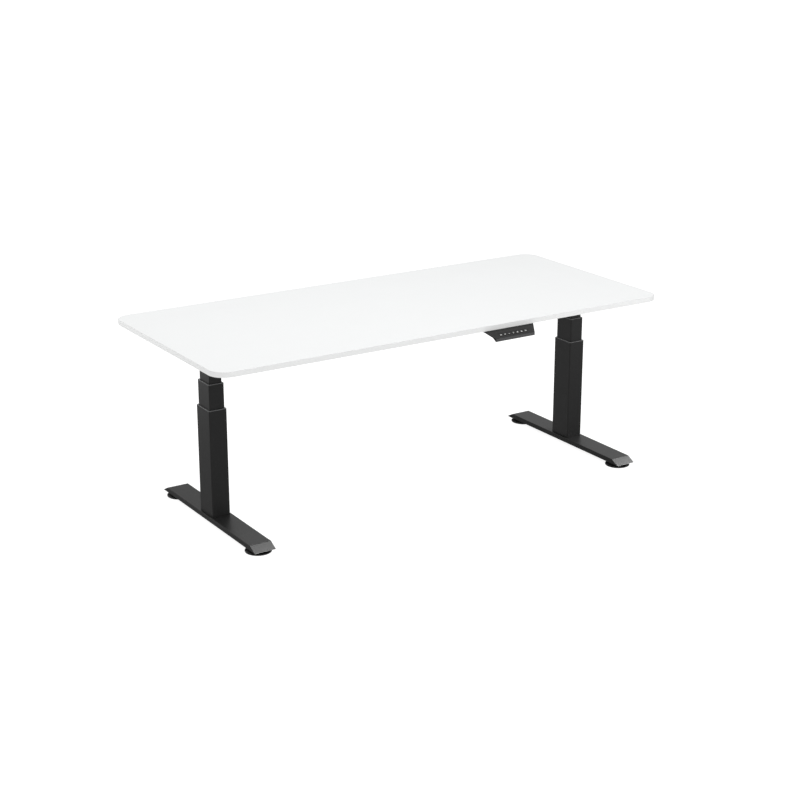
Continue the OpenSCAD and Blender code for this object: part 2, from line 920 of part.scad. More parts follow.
desktop_panel();
edge_band();
wood_screws();
damping_pads();
left_side_bracket();
right_side_bracket();
left_head_frame();
right_head_frame();
centre_rails();
frame_bolts();
left_inner_tube();
right_inner_tube();
left_middle_tube();
right_middle_tube();
left_outer_tube();
right_outer_tube();
outer_tube_glides();
left_middle_tube_glides();
right_middle_tube_glides();
inner_tube_glides();
gearbox_housings();
gearbox_covers();
gearbox_bearings();
motor_cans();
left_motor_rotor();
right_motor_rotor();
left_worm_wheel();
right_worm_wheel();
left_upper_spindle();
right_upper_spindle();
left_upper_nut();
right_upper_nut();
left_lower_spindle();
right_lower_spindle();
lower_nuts();
left_carrier_tube();
right_carrier_tube();
support_tubes();
left_foot();
right_foot();
foot_bolts();
left_front_pad();
left_back_pad();
right_front_pad();
right_back_pad();
left_front_stud();
left_back_stud();
right_front_stud();
right_back_stud();
keypad_housing();
circuit_boards();
up_button();
down_button();
preset_button_1();
preset_button_2();
preset_button_3();
preset_button_4();
memory_button();
control_box_shell();
control_box_lid();
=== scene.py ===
"""Looks of a height adjustable standing desk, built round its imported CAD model.

Each piece takes its place and size from the CAD node that it stands for. All lengths are in
metres, in the CAD model's frame: +X to the user's right, -Y the user's side, +Z up.
"""
import json
import math

import bmesh
import bpy
from mathutils import Matrix, Vector

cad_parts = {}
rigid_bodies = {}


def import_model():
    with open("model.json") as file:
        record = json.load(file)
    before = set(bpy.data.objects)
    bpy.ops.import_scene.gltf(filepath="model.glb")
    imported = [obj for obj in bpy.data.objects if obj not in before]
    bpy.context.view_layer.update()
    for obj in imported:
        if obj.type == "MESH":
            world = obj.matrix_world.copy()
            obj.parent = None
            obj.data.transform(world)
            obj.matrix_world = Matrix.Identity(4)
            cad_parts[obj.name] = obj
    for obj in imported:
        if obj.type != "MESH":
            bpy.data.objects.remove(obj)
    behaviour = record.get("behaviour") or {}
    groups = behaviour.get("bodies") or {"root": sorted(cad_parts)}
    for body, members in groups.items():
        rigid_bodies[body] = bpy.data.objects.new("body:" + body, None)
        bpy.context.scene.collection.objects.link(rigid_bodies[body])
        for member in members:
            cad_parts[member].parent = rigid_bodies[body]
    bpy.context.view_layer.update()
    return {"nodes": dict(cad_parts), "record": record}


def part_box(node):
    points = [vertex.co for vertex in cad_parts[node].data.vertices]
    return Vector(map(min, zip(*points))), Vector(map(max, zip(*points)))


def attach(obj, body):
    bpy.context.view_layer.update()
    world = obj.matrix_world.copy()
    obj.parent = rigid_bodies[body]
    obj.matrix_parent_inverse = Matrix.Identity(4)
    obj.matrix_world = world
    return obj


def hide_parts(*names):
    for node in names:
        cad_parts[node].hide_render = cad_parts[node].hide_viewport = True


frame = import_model()
scene = bpy.context.scene

MM = 0.001
LEFT, RIGHT = -1, 1

# Measures that the CAD model's boxes don't give
DESK_CORNER = 60 * MM
TUBE_WALL = 2 * MM
TUBE_CORNER = 5 * MM
SLIDE_GAP = 0.3 * MM
END_PLATE = 6 * MM
BRIDGE = 8 * MM
SHOE_LENGTH = 38 * MM
FOOT_WALL = 3 * MM
FOOT_SLOPE = 35 * MM
RAIL_WALL = 2 * MM
RAIL_WIDTH = 20 * MM
RAIL_HEIGHT = 33 * MM
HEAD_PLATE = 4 * MM
BRACKET_PLATE = 4 * MM
BRACKET_TIP = 12 * MM
BRACKET_BOLT = 14 * MM  # only the brackets' bolts are longer than this
SCREW_HOLE = 3.1 * MM
PAST = 1 * MM  # how far the tool that cuts a hole sticks out of the piece
CASE_HOLE = 2.8 * MM
GEARBOX_CORNER = 5 * MM
UPPER_BEARING = 12 * MM
SCREW_LEAD = 10 * MM
SCREW_STARTS = 2

BODY = {node: body for body, nodes in frame["record"]["behaviour"]["bodies"].items() for node in nodes}


# ---------- outlines and profiles ----------

def rounded_rectangle(width, depth, radius, steps):
    """Points round a rectangle about the origin whose corners are arcs."""
    points = []
    for corner in range(4):
        along_x = 1 if corner in (0, 3) else -1
        along_y = 1 if corner in (0, 1) else -1
        for i in range(steps + 1):
            angle = math.radians(90 * (corner + i / steps))
            points.append((along_x * (width / 2 - radius) + radius * math.cos(angle),
                           along_y * (depth / 2 - radius) + radius * math.sin(angle)))
    return points


def softened(points, radius, steps=3, closed=True):
    """The line of points with each corner drawn as a small curve."""
    result = []
    count = len(points)
    for i, corner in enumerate(points):
        if not closed and i in (0, count - 1):
            result.append(tuple(corner))
            continue
        here = Vector(corner)
        before, after = Vector(points[i - 1]), Vector(points[(i + 1) % count])
        reach = min(radius, 0.45 * (before - here).length, 0.45 * (after - here).length)
        start = here + (before - here).normalized() * reach
        end = here + (after - here).normalized() * reach
        for k in range(steps + 1):
            t = k / steps
            result.append(tuple(start * (1 - t) ** 2 + here * 2 * t * (1 - t) + end * t * t))
    return result


def eased_side(z0, z1, bottom, top, steps=4):
    """(inset, height) up the side of a slab whose lower and upper arrises are rounded."""
    arc = [math.pi / 2 * i / steps for i in range(steps + 1)]
    return ([(bottom * (1 - math.sin(a)), z0 + bottom * (1 - math.cos(a))) for a in arc]
            + [(top * (1 - math.cos(a)), z1 - top * (1 - math.sin(a))) for a in arc])


def eased_wall(z0, z1, wall, ease):
    """(inset, height) round the wall of a pipe, up its outside and down its inside."""
    outside = eased_side(z0, z1, ease, ease)
    return outside + [(wall - inset, z) for inset, z in reversed(outside)]


def hexagon(across):
    """Radius of a hexagon with that width across its flats, by angle."""
    return lambda a: across / 2 / math.cos((a + math.pi / 6) % (math.pi / 3) - math.pi / 6)


def cross(half_width, reach):
    """Radius of a cross-shaped recess, by angle."""
    def radius(a):
        arms = [min(reach, half_width / max(abs(f(a)), 1e-6)) for f in (math.sin, math.cos)]
        return max(arms)
    return radius


# ---------- shapes ----------

def as_mesh(bm):
    mesh = bpy.data.meshes.new("shape")
    bm.to_mesh(mesh)
    bm.free()
    return mesh


def as_bmesh(shape):
    bm = bmesh.new()
    bm.from_mesh(shape)
    return bm


def tidied(bm):
    bmesh.ops.remove_doubles(bm, verts=bm.verts, dist=0.002 * MM)
    bmesh.ops.dissolve_degenerate(bm, dist=0.001 * MM, edges=bm.edges)
    bmesh.ops.recalc_face_normals(bm, faces=bm.faces)
    return as_mesh(bm)


def lofted(rings, closed=False):
    """A skin over rings of as many points each, capped at both ends or closed into a loop."""
    bm = bmesh.new()
    rows = [[bm.verts.new(point) for point in ring] for ring in rings]
    count = len(rows[0])
    pairs = list(zip(rows, rows[1:])) + ([(rows[-1], rows[0])] if closed else [])
    for lower, upper in pairs:
        for i in range(count):
            j = (i + 1) % count
            bm.faces.new((lower[i], lower[j], upper[j], upper[i]))
    if not closed:
        bm.faces.new(list(reversed(rows[0])))
        bm.faces.new(rows[-1])
    return tidied(bm)


def slab(low, high, corner, profile, closed=False, steps=6):
    """A rounded rectangle over the box from low to high in X and Y, swept along (inset, height) points."""
    centre = (low + high) / 2
    size = high - low
    rings = []
    for inset, z in profile:
        radius = corner(inset) if callable(corner) else max(corner - inset, 0.2 * MM)
        outline = rounded_rectangle(size.x - 2 * inset, size.y - 2 * inset, radius, steps)
        rings.append([(centre.x + x, centre.y + y, z) for x, y in outline])
    return lofted(rings, closed)


def ringed(levels, count=32, closed=False):
    """A shape round the Z axis from (height, radius) levels. A radius may be a function of the angle."""
    rings = []
    for z, radius in levels:
        ring = []
        for i in range(count):
            angle = 2 * math.pi * i / count
            r = radius(angle) if callable(radius) else radius
            ring.append((r * math.cos(angle), r * math.sin(angle), z))
        rings.append(ring)
    return lofted(rings, closed)


def turned(profile, count=32, closed=False):
    """A lathe shape round the Z axis from (radius, height) points."""
    return ringed([(z, r) for r, z in profile], count, closed)


def prism(outline, z0, z1):
    return lofted([[(x, y, z) for x, y in outline] for z in (z0, z1)])


def eased(shape, width, segments, sharper_than=30):
    """The shape with its sharp edges rounded."""
    bm = as_bmesh(shape)
    bmesh.ops.dissolve_limit(bm, angle_limit=math.radians(0.5), verts=bm.verts, edges=bm.edges)
    edges = [e for e in bm.edges
             if e.is_manifold and e.calc_face_angle() > math.radians(sharper_than)]
    bmesh.ops.bevel(bm, geom=edges, offset=width, segments=segments, profile=0.5, affect="EDGES",
                    clamp_overlap=True)
    return as_mesh(bm)


def block(low, high, ease=0.5 * MM):
    """A box with rounded edges."""
    low, high = Vector(low), Vector(high)
    outline = [(low.x, low.y), (high.x, low.y), (high.x, high.y), (low.x, high.y)]
    return eased(prism(outline, low.z, high.z), ease, 2)


def placed(shape, matrix):
    copy = shape.copy()
    copy.transform(matrix)
    if matrix.determinant() < 0:
        copy.flip_normals()
    return copy


def at(x, y, z=0.0):
    return Matrix.Translation((x, y, z))


def rod(radius, z0, z1, place, count=32):
    """A plain upright rod at the place's X and Y. It also serves to drill a hole."""
    return placed(turned([(radius, z0), (radius, z1)], count), at(place.x, place.y))


def painted(shape, index):
    """The shape with that material of its piece all over."""
    for polygon in shape.polygons:
        polygon.material_index = index
    return shape


def along_x(direction=1):
    """Turns the Z axis to +X or -X."""
    return Matrix.Rotation(math.radians(90 * direction), 4, "Y")


def along_y(direction=1):
    """Turns the Z axis to +Y or -Y."""
    return Matrix.Rotation(math.radians(-90 * direction), 4, "X")


# Takes a shape's X, Y and Z to Y, Z and X
ON_ITS_SIDE = Matrix(((0, 0, 1, 0), (1, 0, 0, 0), (0, 1, 0, 0), (0, 0, 0, 1)))


def joined(shapes):
    bm = bmesh.new()
    for shape in shapes:
        bm.from_mesh(shape)
    return as_mesh(bm)


def combined(shape, tools, operation):
    """The shape with the tools cut out of it, or melted into it."""
    base = bpy.data.objects.new("base", shape)
    tool = bpy.data.objects.new("tool", joined(tools))
    scene.collection.objects.link(base)
    scene.collection.objects.link(tool)
    modifier = base.modifiers.new("combine", "BOOLEAN")
    modifier.solver = "EXACT"
    modifier.use_self = True
    modifier.operation = operation
    modifier.object = tool
    depsgraph = bpy.context.evaluated_depsgraph_get()
    result = bpy.data.meshes.new_from_object(base.evaluated_get(depsgraph))
    for obj in (base, tool):
        bpy.data.objects.remove(obj)
    result.materials.clear()
    return result


def cut(shape, *tools):
    return combined(shape, tools, "DIFFERENCE")


def fused(shape, *tools):
    return combined(shape, tools, "UNION")


def threaded(root, crest, z0, z1, lead, starts=1, count=24, bore=None):
    """A rod round the Z axis with a helical thread of trapezoid teeth, hollow if it has a bore."""
    pitch = lead / starts
    tooth = [(0.0, crest), (0.36, crest), (0.52, root), (0.84, root)]

    def radius_at(turn):
        turn %= 1.0
        ends = tooth + [(1.0, crest)]
        for (t0, r0), (t1, r1) in zip(ends, ends[1:]):
            if t0 <= turn <= t1:
                return r0 + (r1 - r0) * (turn - t0) / (t1 - t0)

    per_turn = starts * len(tooth)
    pitches = range(-starts - 1, math.ceil((z1 - z0) / pitch) + 1)
    bm = bmesh.new()
    columns = []
    bore_wall = []
    for j in range(count):
        angle = 2 * math.pi * j / count
        x, y = math.cos(angle), math.sin(angle)
        shift = lead * j / count
        if bore:
            bore_wall.append([bm.verts.new((bore * x, bore * y, z)) for z in (z0, z1)])
        column = []
        for share, radius in [(p + t, r) for p in pitches for t, r in tooth]:
            height = z0 + share * pitch + shift
            z = min(max(height, z0), z1)
            r = radius if z == height else radius_at((z - z0 - shift) / pitch)
            column.append(bm.verts.new((r * x, r * y, z)))
        columns.append(column)
    for j, column in enumerate(columns):
        after = columns[(j + 1) % count]
        skew = per_turn if j == count - 1 else 0
        for k in range(len(column) - 1 - skew):
            bm.faces.new((column[k], after[k + skew], after[k + 1 + skew], column[k + 1]))
        if bore:
            low, high = bore_wall[j]
            next_low, next_high = bore_wall[(j + 1) % count]
            bm.faces.new((low, high, next_high, next_low))
            bm.faces.new((column[0], low, next_low, after[0]))
            bm.faces.new((column[-1], after[-1], next_high, high))
    bmesh.ops.remove_doubles(bm, verts=bm.verts, dist=0.005 * MM)
    rim = [e for e in bm.edges if e.is_boundary]
    bmesh.ops.holes_fill(bm, edges=rim)
    return tidied(bm)


# ---------- the frame's pieces ----------

def solids(node):
    """The boxes of a CAD node's separate solids, from -X to +X and then from -Y to +Y."""
    bm = as_bmesh(frame["nodes"][node].data)
    bmesh.ops.remove_doubles(bm, verts=bm.verts, dist=0.01 * MM)
    unseen = set(bm.verts)
    boxes = []
    while unseen:
        edge_of_group = [unseen.pop()]
        group = []
        while edge_of_group:
            vertex = edge_of_group.pop()
            group.append(vertex.co.copy())
            for e in vertex.link_edges:
                other = e.other_vert(vertex)
                if other in unseen:
                    unseen.remove(other)
                    edge_of_group.append(other)
        low = Vector(map(min, zip(*group)))
        high = Vector(map(max, zip(*group)))
        boxes.append((low, high))
    bm.free()
    return sorted(boxes, key=lambda box: (round(box[0].x, 4), round(box[0].y, 4), round(box[0].z, 4)))


def middle(box):
    return (box[0] + box[1]) / 2


def middle_solid(node, side):
    """The box of the solid of a shared node that lies on that side of the desk."""
    return [box for box in solids(node) if middle(box).x * side > 0][0]


def over(box, z=0.0):
    """Puts the origin at the middle of a box's outline, at that height."""
    low, high = box
    return at((low.x + high.x) / 2, (low.y + high.y) / 2, z)


def centres(node, within=None, side=0):
    """The middles of a node's solids, of all or of those over a box's outline or on one side."""
    found = []
    for place in map(middle, solids(node)):
        inside = not within or all(within[0][i] < place[i] < within[1][i] for i in (0, 1))
        if inside and place.x * side >= 0:
            found.append(place)
    return found


def bracket_bolts(side):
    """The middles of the long bolts that hold one side bracket to its head frame."""
    return [middle(box) for box in solids("frame_bolts")
            if box[1].x - box[0].x > BRACKET_BOLT and middle(box).x * side > 0]


def finished(node, shape, *materials):
    """Makes the piece that stands for a CAD node, on that node's body and in its material slot."""
    piece = bpy.data.objects.new(node + "_finished", shape)
    scene.collection.objects.link(piece)
    for material in materials:
        shape.materials.append(material)
    shape.shade_smooth()
    shape.set_sharp_from_angle(angle=math.radians(38))
    weighted = piece.modifiers.new("even_normals", "WEIGHTED_NORMAL")
    weighted.keep_sharp = True
    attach(piece, BODY[node])
    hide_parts(node)
    return piece


def sides():
    return (("left", LEFT), ("right", RIGHT))


# ---------- materials ----------

class Finish:
    """A procedural material: one Principled shader, with nodes for its colour, roughness and relief."""

    def __init__(self, name, specular=0.5, metallic=0.0, coat=0.0):
        self.material = bpy.data.materials.new(name)
        self.material.use_nodes = True
        self.tree = self.material.node_tree
        self.shader = self.tree.nodes["Principled BSDF"]
        self.shader.inputs["Specular IOR Level"].default_value = specular
        self.shader.inputs["Metallic"].default_value = metallic
        self.shader.inputs["Coat Weight"].default_value = coat
        self.place = self.node("TexCoord").outputs["Object"]

    def node(self, kind, **inputs):
        made = self.tree.nodes.new("ShaderNode" + kind)
        for name, value in inputs.items():
            self.feed(made.inputs[name.replace("_", " ")], value)
        return made

    def feed(self, socket, value):
        if isinstance(value, bpy.types.NodeSocket):
            self.tree.links.new(value, socket)
        else:
            socket.default_value = value

    def stretched(self, *scale):
        """The place on the object, drawn out along an axis whose scale is small."""
        return self.node("Mapping", Vector=self.place, Scale=scale).outputs["Vector"]

    def noise(self, size, detail=2.0, place=None):
        """Smooth noise from 0 to 1 whose features are about that many metres across."""
        place = place or self.place
        return self.node("TexNoise", Vector=place, Scale=1 / size, Detail=detail).outputs["Fac"]

    def cells(self, size):
        return self.node("TexVoronoi", Vector=self.place, Scale=1 / size).outputs["Distance"]

    def between(self, value, low, high, start=0.25, end=0.75):
        """The value from start to end, drawn out over low to high."""
        made = self.node("MapRange", Value=value)
        for name, number in (("From Min", start), ("From Max", end), ("To Min", low), ("To Max", high)):
            made.inputs[name].default_value = number
        return made.outputs["Result"]

    def blend(self, share, first, second):
        """A colour between two, where a colour is grey if it is given as one number."""
        made = self.node("Mix")
        made.data_type = "RGBA"
        self.feed(made.inputs[0], share)
        for socket, colour in ((made.inputs[6], first), (made.inputs[7], second)):
            self.feed(socket, colour if isinstance(colour, bpy.types.NodeSocket) else rgba(colour))
        return made.outputs[2]

    def colour(self, value):
        self.feed(self.shader.inputs["Base Color"], value)
        return self

    def roughness(self, value, low, high):
        self.feed(self.shader.inputs["Roughness"], self.between(value, low, high))
        return self

    def relief(self, *layers):
        """Bumps, each given as (height, depth in metres, strength)."""
        normal = None
        for height, depth, strength in layers:
            bump = self.node("Bump", Height=height, Distance=depth, Strength=strength)
            if normal:
                self.feed(bump.inputs["Normal"], normal)
            normal = bump.outputs["Normal"]
        self.feed(self.shader.inputs["Normal"], normal)
        return self

    def edge_highlighted(self, base, edge, width, amount):
        """The base colour, paler along edges: a painted highlight on the arrises."""
        round_normal = self.node("Bevel", Radius=width).outputs["Normal"]
        flat_normal = self.node("NewGeometry").outputs["Normal"]
        same = self.node("VectorMath")
        same.operation = "DOT_PRODUCT"
        self.feed(same.inputs[0], round_normal)
        self.feed(same.inputs[1], flat_normal)
        near_edge = self.between(same.outputs["Value"], amount, 0.0, start=0.75, end=0.99)
        return self.blend(near_edge, base, edge)


def rgba(colour):
    red, green, blue = (colour,) * 3 if isinstance(colour, float) else colour
    return (red, green, blue, 1.0)


def melamine_white():
    """Decor board: nearly plain white with a fine pearl relief."""
    f = Finish("melamine_white", specular=0.4)
    tone = f.blend(f.noise(120 * MM, 3), (0.868, 0.878, 0.878), (0.852, 0.862, 0.862))
    specks = f.between(f.noise(1.2 * MM, 4), 0.0, 0.35)
    f.colour(f.blend(specks, tone, (0.83, 0.838, 0.838)))
    f.roughness(f.noise(30 * MM, 4), 0.38, 0.48)
    f.relief((f.noise(1.6 * MM, 3), 0.05 * MM, 0.35), (f.noise(0.5 * MM), 0.02 * MM, 0.3))
    return f.material


def edge_band_white():
    """Extruded ABS band with faint lines along it, greyer than the board: painted shade on the desktop's
    edges.
    """
    f = Finish("edge_band_white", specular=0.45)
    lines = f.noise(0.8 * MM, 3, f.stretched(0.02, 0.02, 1.0))
    # The band's greyer white is painted shade.
    f.colour(f.blend(f.between(lines, 0.0, 1.0), (0.735, 0.74, 0.738), (0.71, 0.715, 0.713)))
    f.roughness(f.noise(12 * MM, 3), 0.30, 0.42)
    f.relief((lines, 0.03 * MM, 0.3), (f.noise(0.6 * MM), 0.02 * MM, 0.25))
    return f.material


def powder_coat(name, shade, specular, rough):
    """Baked powder paint: an orange-peel surface with a fine grain, and a painted highlight along its
    edges.
    """
    f = Finish(name, specular=specular)
    mottled = f.between(f.noise(60 * MM, 4), 0.8 * shade, 1.2 * shade)
    grain = f.between(f.noise(0.5 * MM, 3), 0.0, 0.5)
    base = f.blend(grain, f.blend(mottled, 0.6 * shade, 1.5 * shade), 1.8 * shade)
    # The paler edges are a painted highlight.
    f.colour(f.edge_highlighted(base, 4.5 * shade, 0.7 * MM, 0.5))
    f.roughness(f.noise(2.5 * MM, 4), rough - 0.05, rough + 0.06)
    f.relief((f.noise(1.3 * MM, 2), 0.09 * MM, 0.35), (f.noise(0.35 * MM), 0.03 * MM, 0.35))
    return f.material


def moulded_plastic(name, colour, specular, rough, grain=0.45 * MM):
    """Injection-moulded plastic from a spark-eroded tool."""
    depth = 0.03 * MM
    f = Finish(name, specular=specular)
    pale = tuple(1.35 * part for part in colour)
    f.colour(f.blend(f.between(f.noise(25 * MM, 4), 0.0, 0.6), colour, pale))
    f.roughness(f.noise(3 * MM, 4), rough - 0.06, rough + 0.07)
    f.relief((f.cells(grain), depth, 0.5), (f.noise(0.3 * MM), 0.5 * depth, 0.4))
    return f.material


def rubber():
    """Soft and matt, with a coarse skin."""
    f = Finish("rubber", specular=0.25)
    f.colour(f.blend(f.noise(8 * MM, 4), (0.012, 0.012, 0.012), (0.028, 0.027, 0.026)))
    f.roughness(f.noise(2 * MM, 4), 0.75, 0.9)
    f.relief((f.noise(0.6 * MM, 3), 0.06 * MM, 0.6))
    return f.material


def zinc_plate():
    """Bright zinc on steel, with the cloudy patches of passivation."""
    f = Finish("zinc_plate", metallic=1.0)
    clouds = f.between(f.noise(4 * MM, 5), 0.0, 1.0)
    f.colour(f.blend(clouds, (0.50, 0.52, 0.55), (0.68, 0.69, 0.68)))
    f.roughness(f.noise(1.5 * MM, 4), 0.26, 0.42)
    f.relief((f.noise(0.7 * MM, 3), 0.02 * MM, 0.3))
    return f.material


def ground_steel():
    """Rolled and ground steel with a thin film of grease."""
    f = Finish("ground_steel", metallic=1.0, coat=0.15)
    marks = f.noise(0.6 * MM, 3, f.stretched(0.15, 0.15, 1.0))
    f.colour(f.blend(f.between(f.noise(9 * MM, 4), 0.0, 1.0), (0.46, 0.46, 0.46), (0.60, 0.60, 0.59)))
    f.roughness(marks, 0.20, 0.36)
    f.relief((marks, 0.015 * MM, 0.3))
    return f.material


def gear_bronze():
    """Cast and hobbed bronze, a little uneven in tone."""
    f = Finish("gear_bronze", metallic=1.0)
    f.colour(f.blend(f.between(f.noise(5 * MM, 4), 0.0, 1.0), (0.66, 0.42, 0.17), (0.78, 0.55, 0.26)))
    f.roughness(f.noise(1 * MM, 4), 0.28, 0.42)
    f.relief((f.noise(0.4 * MM, 3), 0.02 * MM, 0.3))
    return f.material


def die_cast():
    """Die-cast aluminium: grey, with flow marks and a sandy skin."""
    f = Finish("die_cast", metallic=0.85)
    flow = f.noise(14 * MM, 5, f.stretched(1.0, 0.4, 1.0))
    f.colour(f.blend(f.between(flow, 0.0, 1.0), (0.30, 0.31, 0.32), (0.44, 0.45, 0.46)))
    f.roughness(f.noise(2 * MM, 4), 0.42, 0.6)
    f.relief((f.noise(0.7 * MM, 4), 0.05 * MM, 0.5))
    return f.material


def nut_plastic():
    """Natural acetal, slightly see-through at its skin."""
    f = Finish("nut_plastic", specular=0.45)
    f.shader.inputs["Subsurface Weight"].default_value = 0.15
    f.shader.inputs["Subsurface Scale"].default_value = 1 * MM
    f.colour(f.blend(f.noise(10 * MM, 3), (0.70, 0.66, 0.54), (0.76, 0.73, 0.63)))
    f.roughness(f.noise(2 * MM, 3), 0.32, 0.44)
    f.relief((f.noise(0.5 * MM, 3), 0.02 * MM, 0.3))
    return f.material


def solder_mask():
    """Green circuit board with faint copper tracks under the lacquer."""
    f = Finish("solder_mask", specular=0.5, coat=0.3)
    tracks = f.node("TexBrick", Vector=f.stretched(1.0, 1.0, 0.0), Scale=1 / (9 * MM),
                    Color1=rgba(0.0), Color2=rgba(0.0), Mortar=rgba(1.0), Mortar_Size=0.04)
    f.colour(f.blend(tracks.outputs["Fac"], (0.006, 0.075, 0.03), (0.02, 0.16, 0.06)))
    f.roughness(f.noise(3 * MM, 3), 0.25, 0.38)
    f.relief((tracks.outputs["Fac"], 0.04 * MM, 0.6), (f.noise(1 * MM), 0.01 * MM, 0.3))
    return f.material


def legend_white():
    """Pad-printed white of the keypad's marks."""
    f = Finish("legend_white", specular=0.3)
    f.colour(f.blend(f.noise(1.5 * MM, 3), (0.78, 0.78, 0.77), (0.86, 0.86, 0.85)))
    f.roughness(f.noise(1 * MM, 3), 0.45, 0.6)
    f.relief((f.noise(0.4 * MM), 0.01 * MM, 0.3))
    return f.material


WHITE_BOARD = melamine_white()
SHADED_WHITE_BAND = edge_band_white()
# The columns and the feet have one black powder coat. The columns' copy is paler, which paints in light,
# and the feet's copy is darker, which paints in shade.
LIGHTENED_COLUMN_PAINT = powder_coat("lightened_column_paint", 0.0100, 0.38, 0.46)
SHADED_FOOT_PAINT = powder_coat("shaded_foot_paint", 0.0065, 0.36, 0.38)
FRAME_PAINT = powder_coat("frame_paint", 0.0095, 0.35, 0.5)
# The glides' plastic is dark grey instead of black: a painted highlight on the rims of the tubes.
LIGHTENED_GLIDE_PLASTIC = moulded_plastic("lightened_glide_plastic", (0.085, 0.085, 0.086), 0.8, 0.26)
PAD_PLASTIC = moulded_plastic("pad_plastic", (0.008, 0.008, 0.008), 0.35, 0.4)
KEYPAD_PLASTIC = moulded_plastic("keypad_plastic", (0.009, 0.009, 0.009), 0.25, 0.5)
KEYPAD_LIP_PLASTIC = moulded_plastic("keypad_lip_plastic", (0.05, 0.05, 0.051), 0.5, 0.32, grain=0.3 * MM)
BUTTON_PLASTIC = moulded_plastic("button_plastic", (0.008, 0.008, 0.008), 0.35, 0.38)
BOX_PLASTIC = moulded_plastic("box_plastic", (0.020, 0.020, 0.021), 0.4, 0.5, grain=0.7 * MM)
RELAY_PLASTIC = moulded_plastic("relay_plastic", (0.03, 0.05, 0.10), 0.4, 0.4)
MOTOR_PAINT = powder_coat("motor_paint", 0.008, 0.5, 0.32)
RUBBER = rubber()
ZINC = zinc_plate()
STEEL = ground_steel()
BRONZE = gear_bronze()
CASTING = die_cast()
ACETAL = nut_plastic()
BOARD_GREEN = solder_mask()
LEGEND = legend_white()


# ---------- desktop ----------

def desktop():
    """The decor board, and round it the band with its rounded arrises."""
    low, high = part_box("edge_band")
    board_low, board_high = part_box("desktop_panel")
    band = board_low.x - low.x
    seam = 0.25 * MM
    hole = 2.6 * MM
    depth = 13 * MM
    seam_side = eased_side(low.z, high.z, seam, seam, 2)
    board = slab(board_low, board_high, DESK_CORNER - band, seam_side, steps=16)
    holes = [rod(hole, low.z - PAST, low.z + depth, place, 16) for place in centres("wood_screws")]
    finished("desktop_panel", cut(board, *holes), WHITE_BOARD)

    lower_arris, upper_arris = 0.8 * MM, 1.2 * MM
    outside = eased_side(low.z, high.z, lower_arris, upper_arris, 5)
    inside = [(band - inset, z) for inset, z in reversed(seam_side)]
    ring = slab(low, high, DESK_CORNER, outside + inside, closed=True, steps=16)
    finished("edge_band", ring, SHADED_WHITE_BAND)


# ---------- fasteners ----------

def socket_bolt(head_radius, head_height, shank_radius, length):
    """A button-head bolt with a hexagon socket. Its head's underside is at the origin, its shank up +Z."""
    socket = hexagon(0.95 * head_radius)
    rim = 0.35 * head_height
    return ringed([
        (length, 0.0), (length, shank_radius - 0.6 * MM), (length - 0.6 * MM, shank_radius),
        (0.0, shank_radius), (0.0, head_radius - 0.2 * MM), (-0.2 * MM, head_radius),
        (-rim, head_radius), (-0.72 * head_height, 0.93 * head_radius),
        (-0.93 * head_height, 0.8 * head_radius), (-head_height, 0.68 * head_radius),
        (-head_height, lambda a: 1.06 * socket(a)), (-head_height + 0.25 * MM, socket),
        (-0.3 * head_height, socket), (-0.22 * head_height, 0.0),
    ], 48)


def wood_screw(head_radius, head_height, shank_radius, length):
    """A pan-head screw with a cross recess and a coarse thread. Its head's underside is at the origin."""
    recess = cross(0.16 * head_radius, 0.62 * head_radius)
    head = [
        (0.0, head_radius - 0.15 * MM), (-0.15 * MM, head_radius), (-0.4 * head_height, head_radius),
        (-0.75 * head_height, 0.9 * head_radius), (-0.97 * head_height, 0.72 * head_radius),
        (-head_height, lambda a: 1.1 * recess(a)), (-0.9 * head_height, recess),
        (-0.25 * head_height, lambda a: 0.6 * recess(a)), (-0.2 * head_height, 0.0),
    ]
    shank = [(length, 0.0)]
    turns = 5
    for i in range(turns):
        top = length * (1 - (i + 0.5) / turns)
        crest = shank_radius * min(1.0, 0.45 + 0.2 * i)
        shank += [(top + 0.3 * MM, 0.72 * crest), (top, crest), (top - 0.3 * MM, 0.72 * crest)]
    return ringed(shank + [(0.0, 0.8 * shank_radius)] + head, 32)


def wood_screws():
    """The screws into the board, each stopped at another angle."""
    screws = []
    screw_head, screw_shank, turn_of_next = 2.6 * MM, 2.4 * MM, 37
    for low, high in solids("wood_screws"):
        seat = low.z + screw_head
        screw = wood_screw((high.x - low.x) / 2, screw_head, screw_shank, high.z - seat)
        turn = Matrix.Rotation(math.radians(turn_of_next * len(screws)), 4, "Z")
        screws.append(placed(screw, over((low, high), seat) @ turn))
    finished("wood_screws", joined(screws), ZINC)


def frame_bolts():
    """Bolts along X hold the side brackets, and short bolts along Y lock the rails in their sleeves."""
    bolts = []
    head, shank, bite = 4 * MM, 3 * MM, 1 * MM
    for low, high in solids("frame_bolts"):
        centre = (low + high) / 2
        size = high - low
        if abs(size.y - size.z) < abs(size.x - size.z):
            inward = 1 if centre.x < 0 else -1
            start = low.x if inward > 0 else high.x
            bolt = socket_bolt(size.y / 2, head, shank, size.x - head)
            place = at(start + inward * head, centre.y, centre.z) @ along_x(inward)
        else:
            inward = 1 if centre.y < middle(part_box("centre_rails")).y else -1
            start = low.y if inward > 0 else high.y
            bolt = socket_bolt(size.x / 2, head, shank, bite)
            place = at(centre.x, start + inward * head, centre.z) @ along_y(inward)
        bolts.append(placed(bolt, place))
    finished("frame_bolts", joined(bolts), ZINC)


def foot_bolts():
    bolts = []
    head, shank = 5 * MM, 4 * MM
    for low, high in solids("foot_bolts"):
        bolt = socket_bolt((high.x - low.x) / 2, head, shank, high.z - low.z - head)
        bolts.append(placed(bolt, over((low, high), low.z + head)))
    finished("foot_bolts", joined(bolts), ZINC)


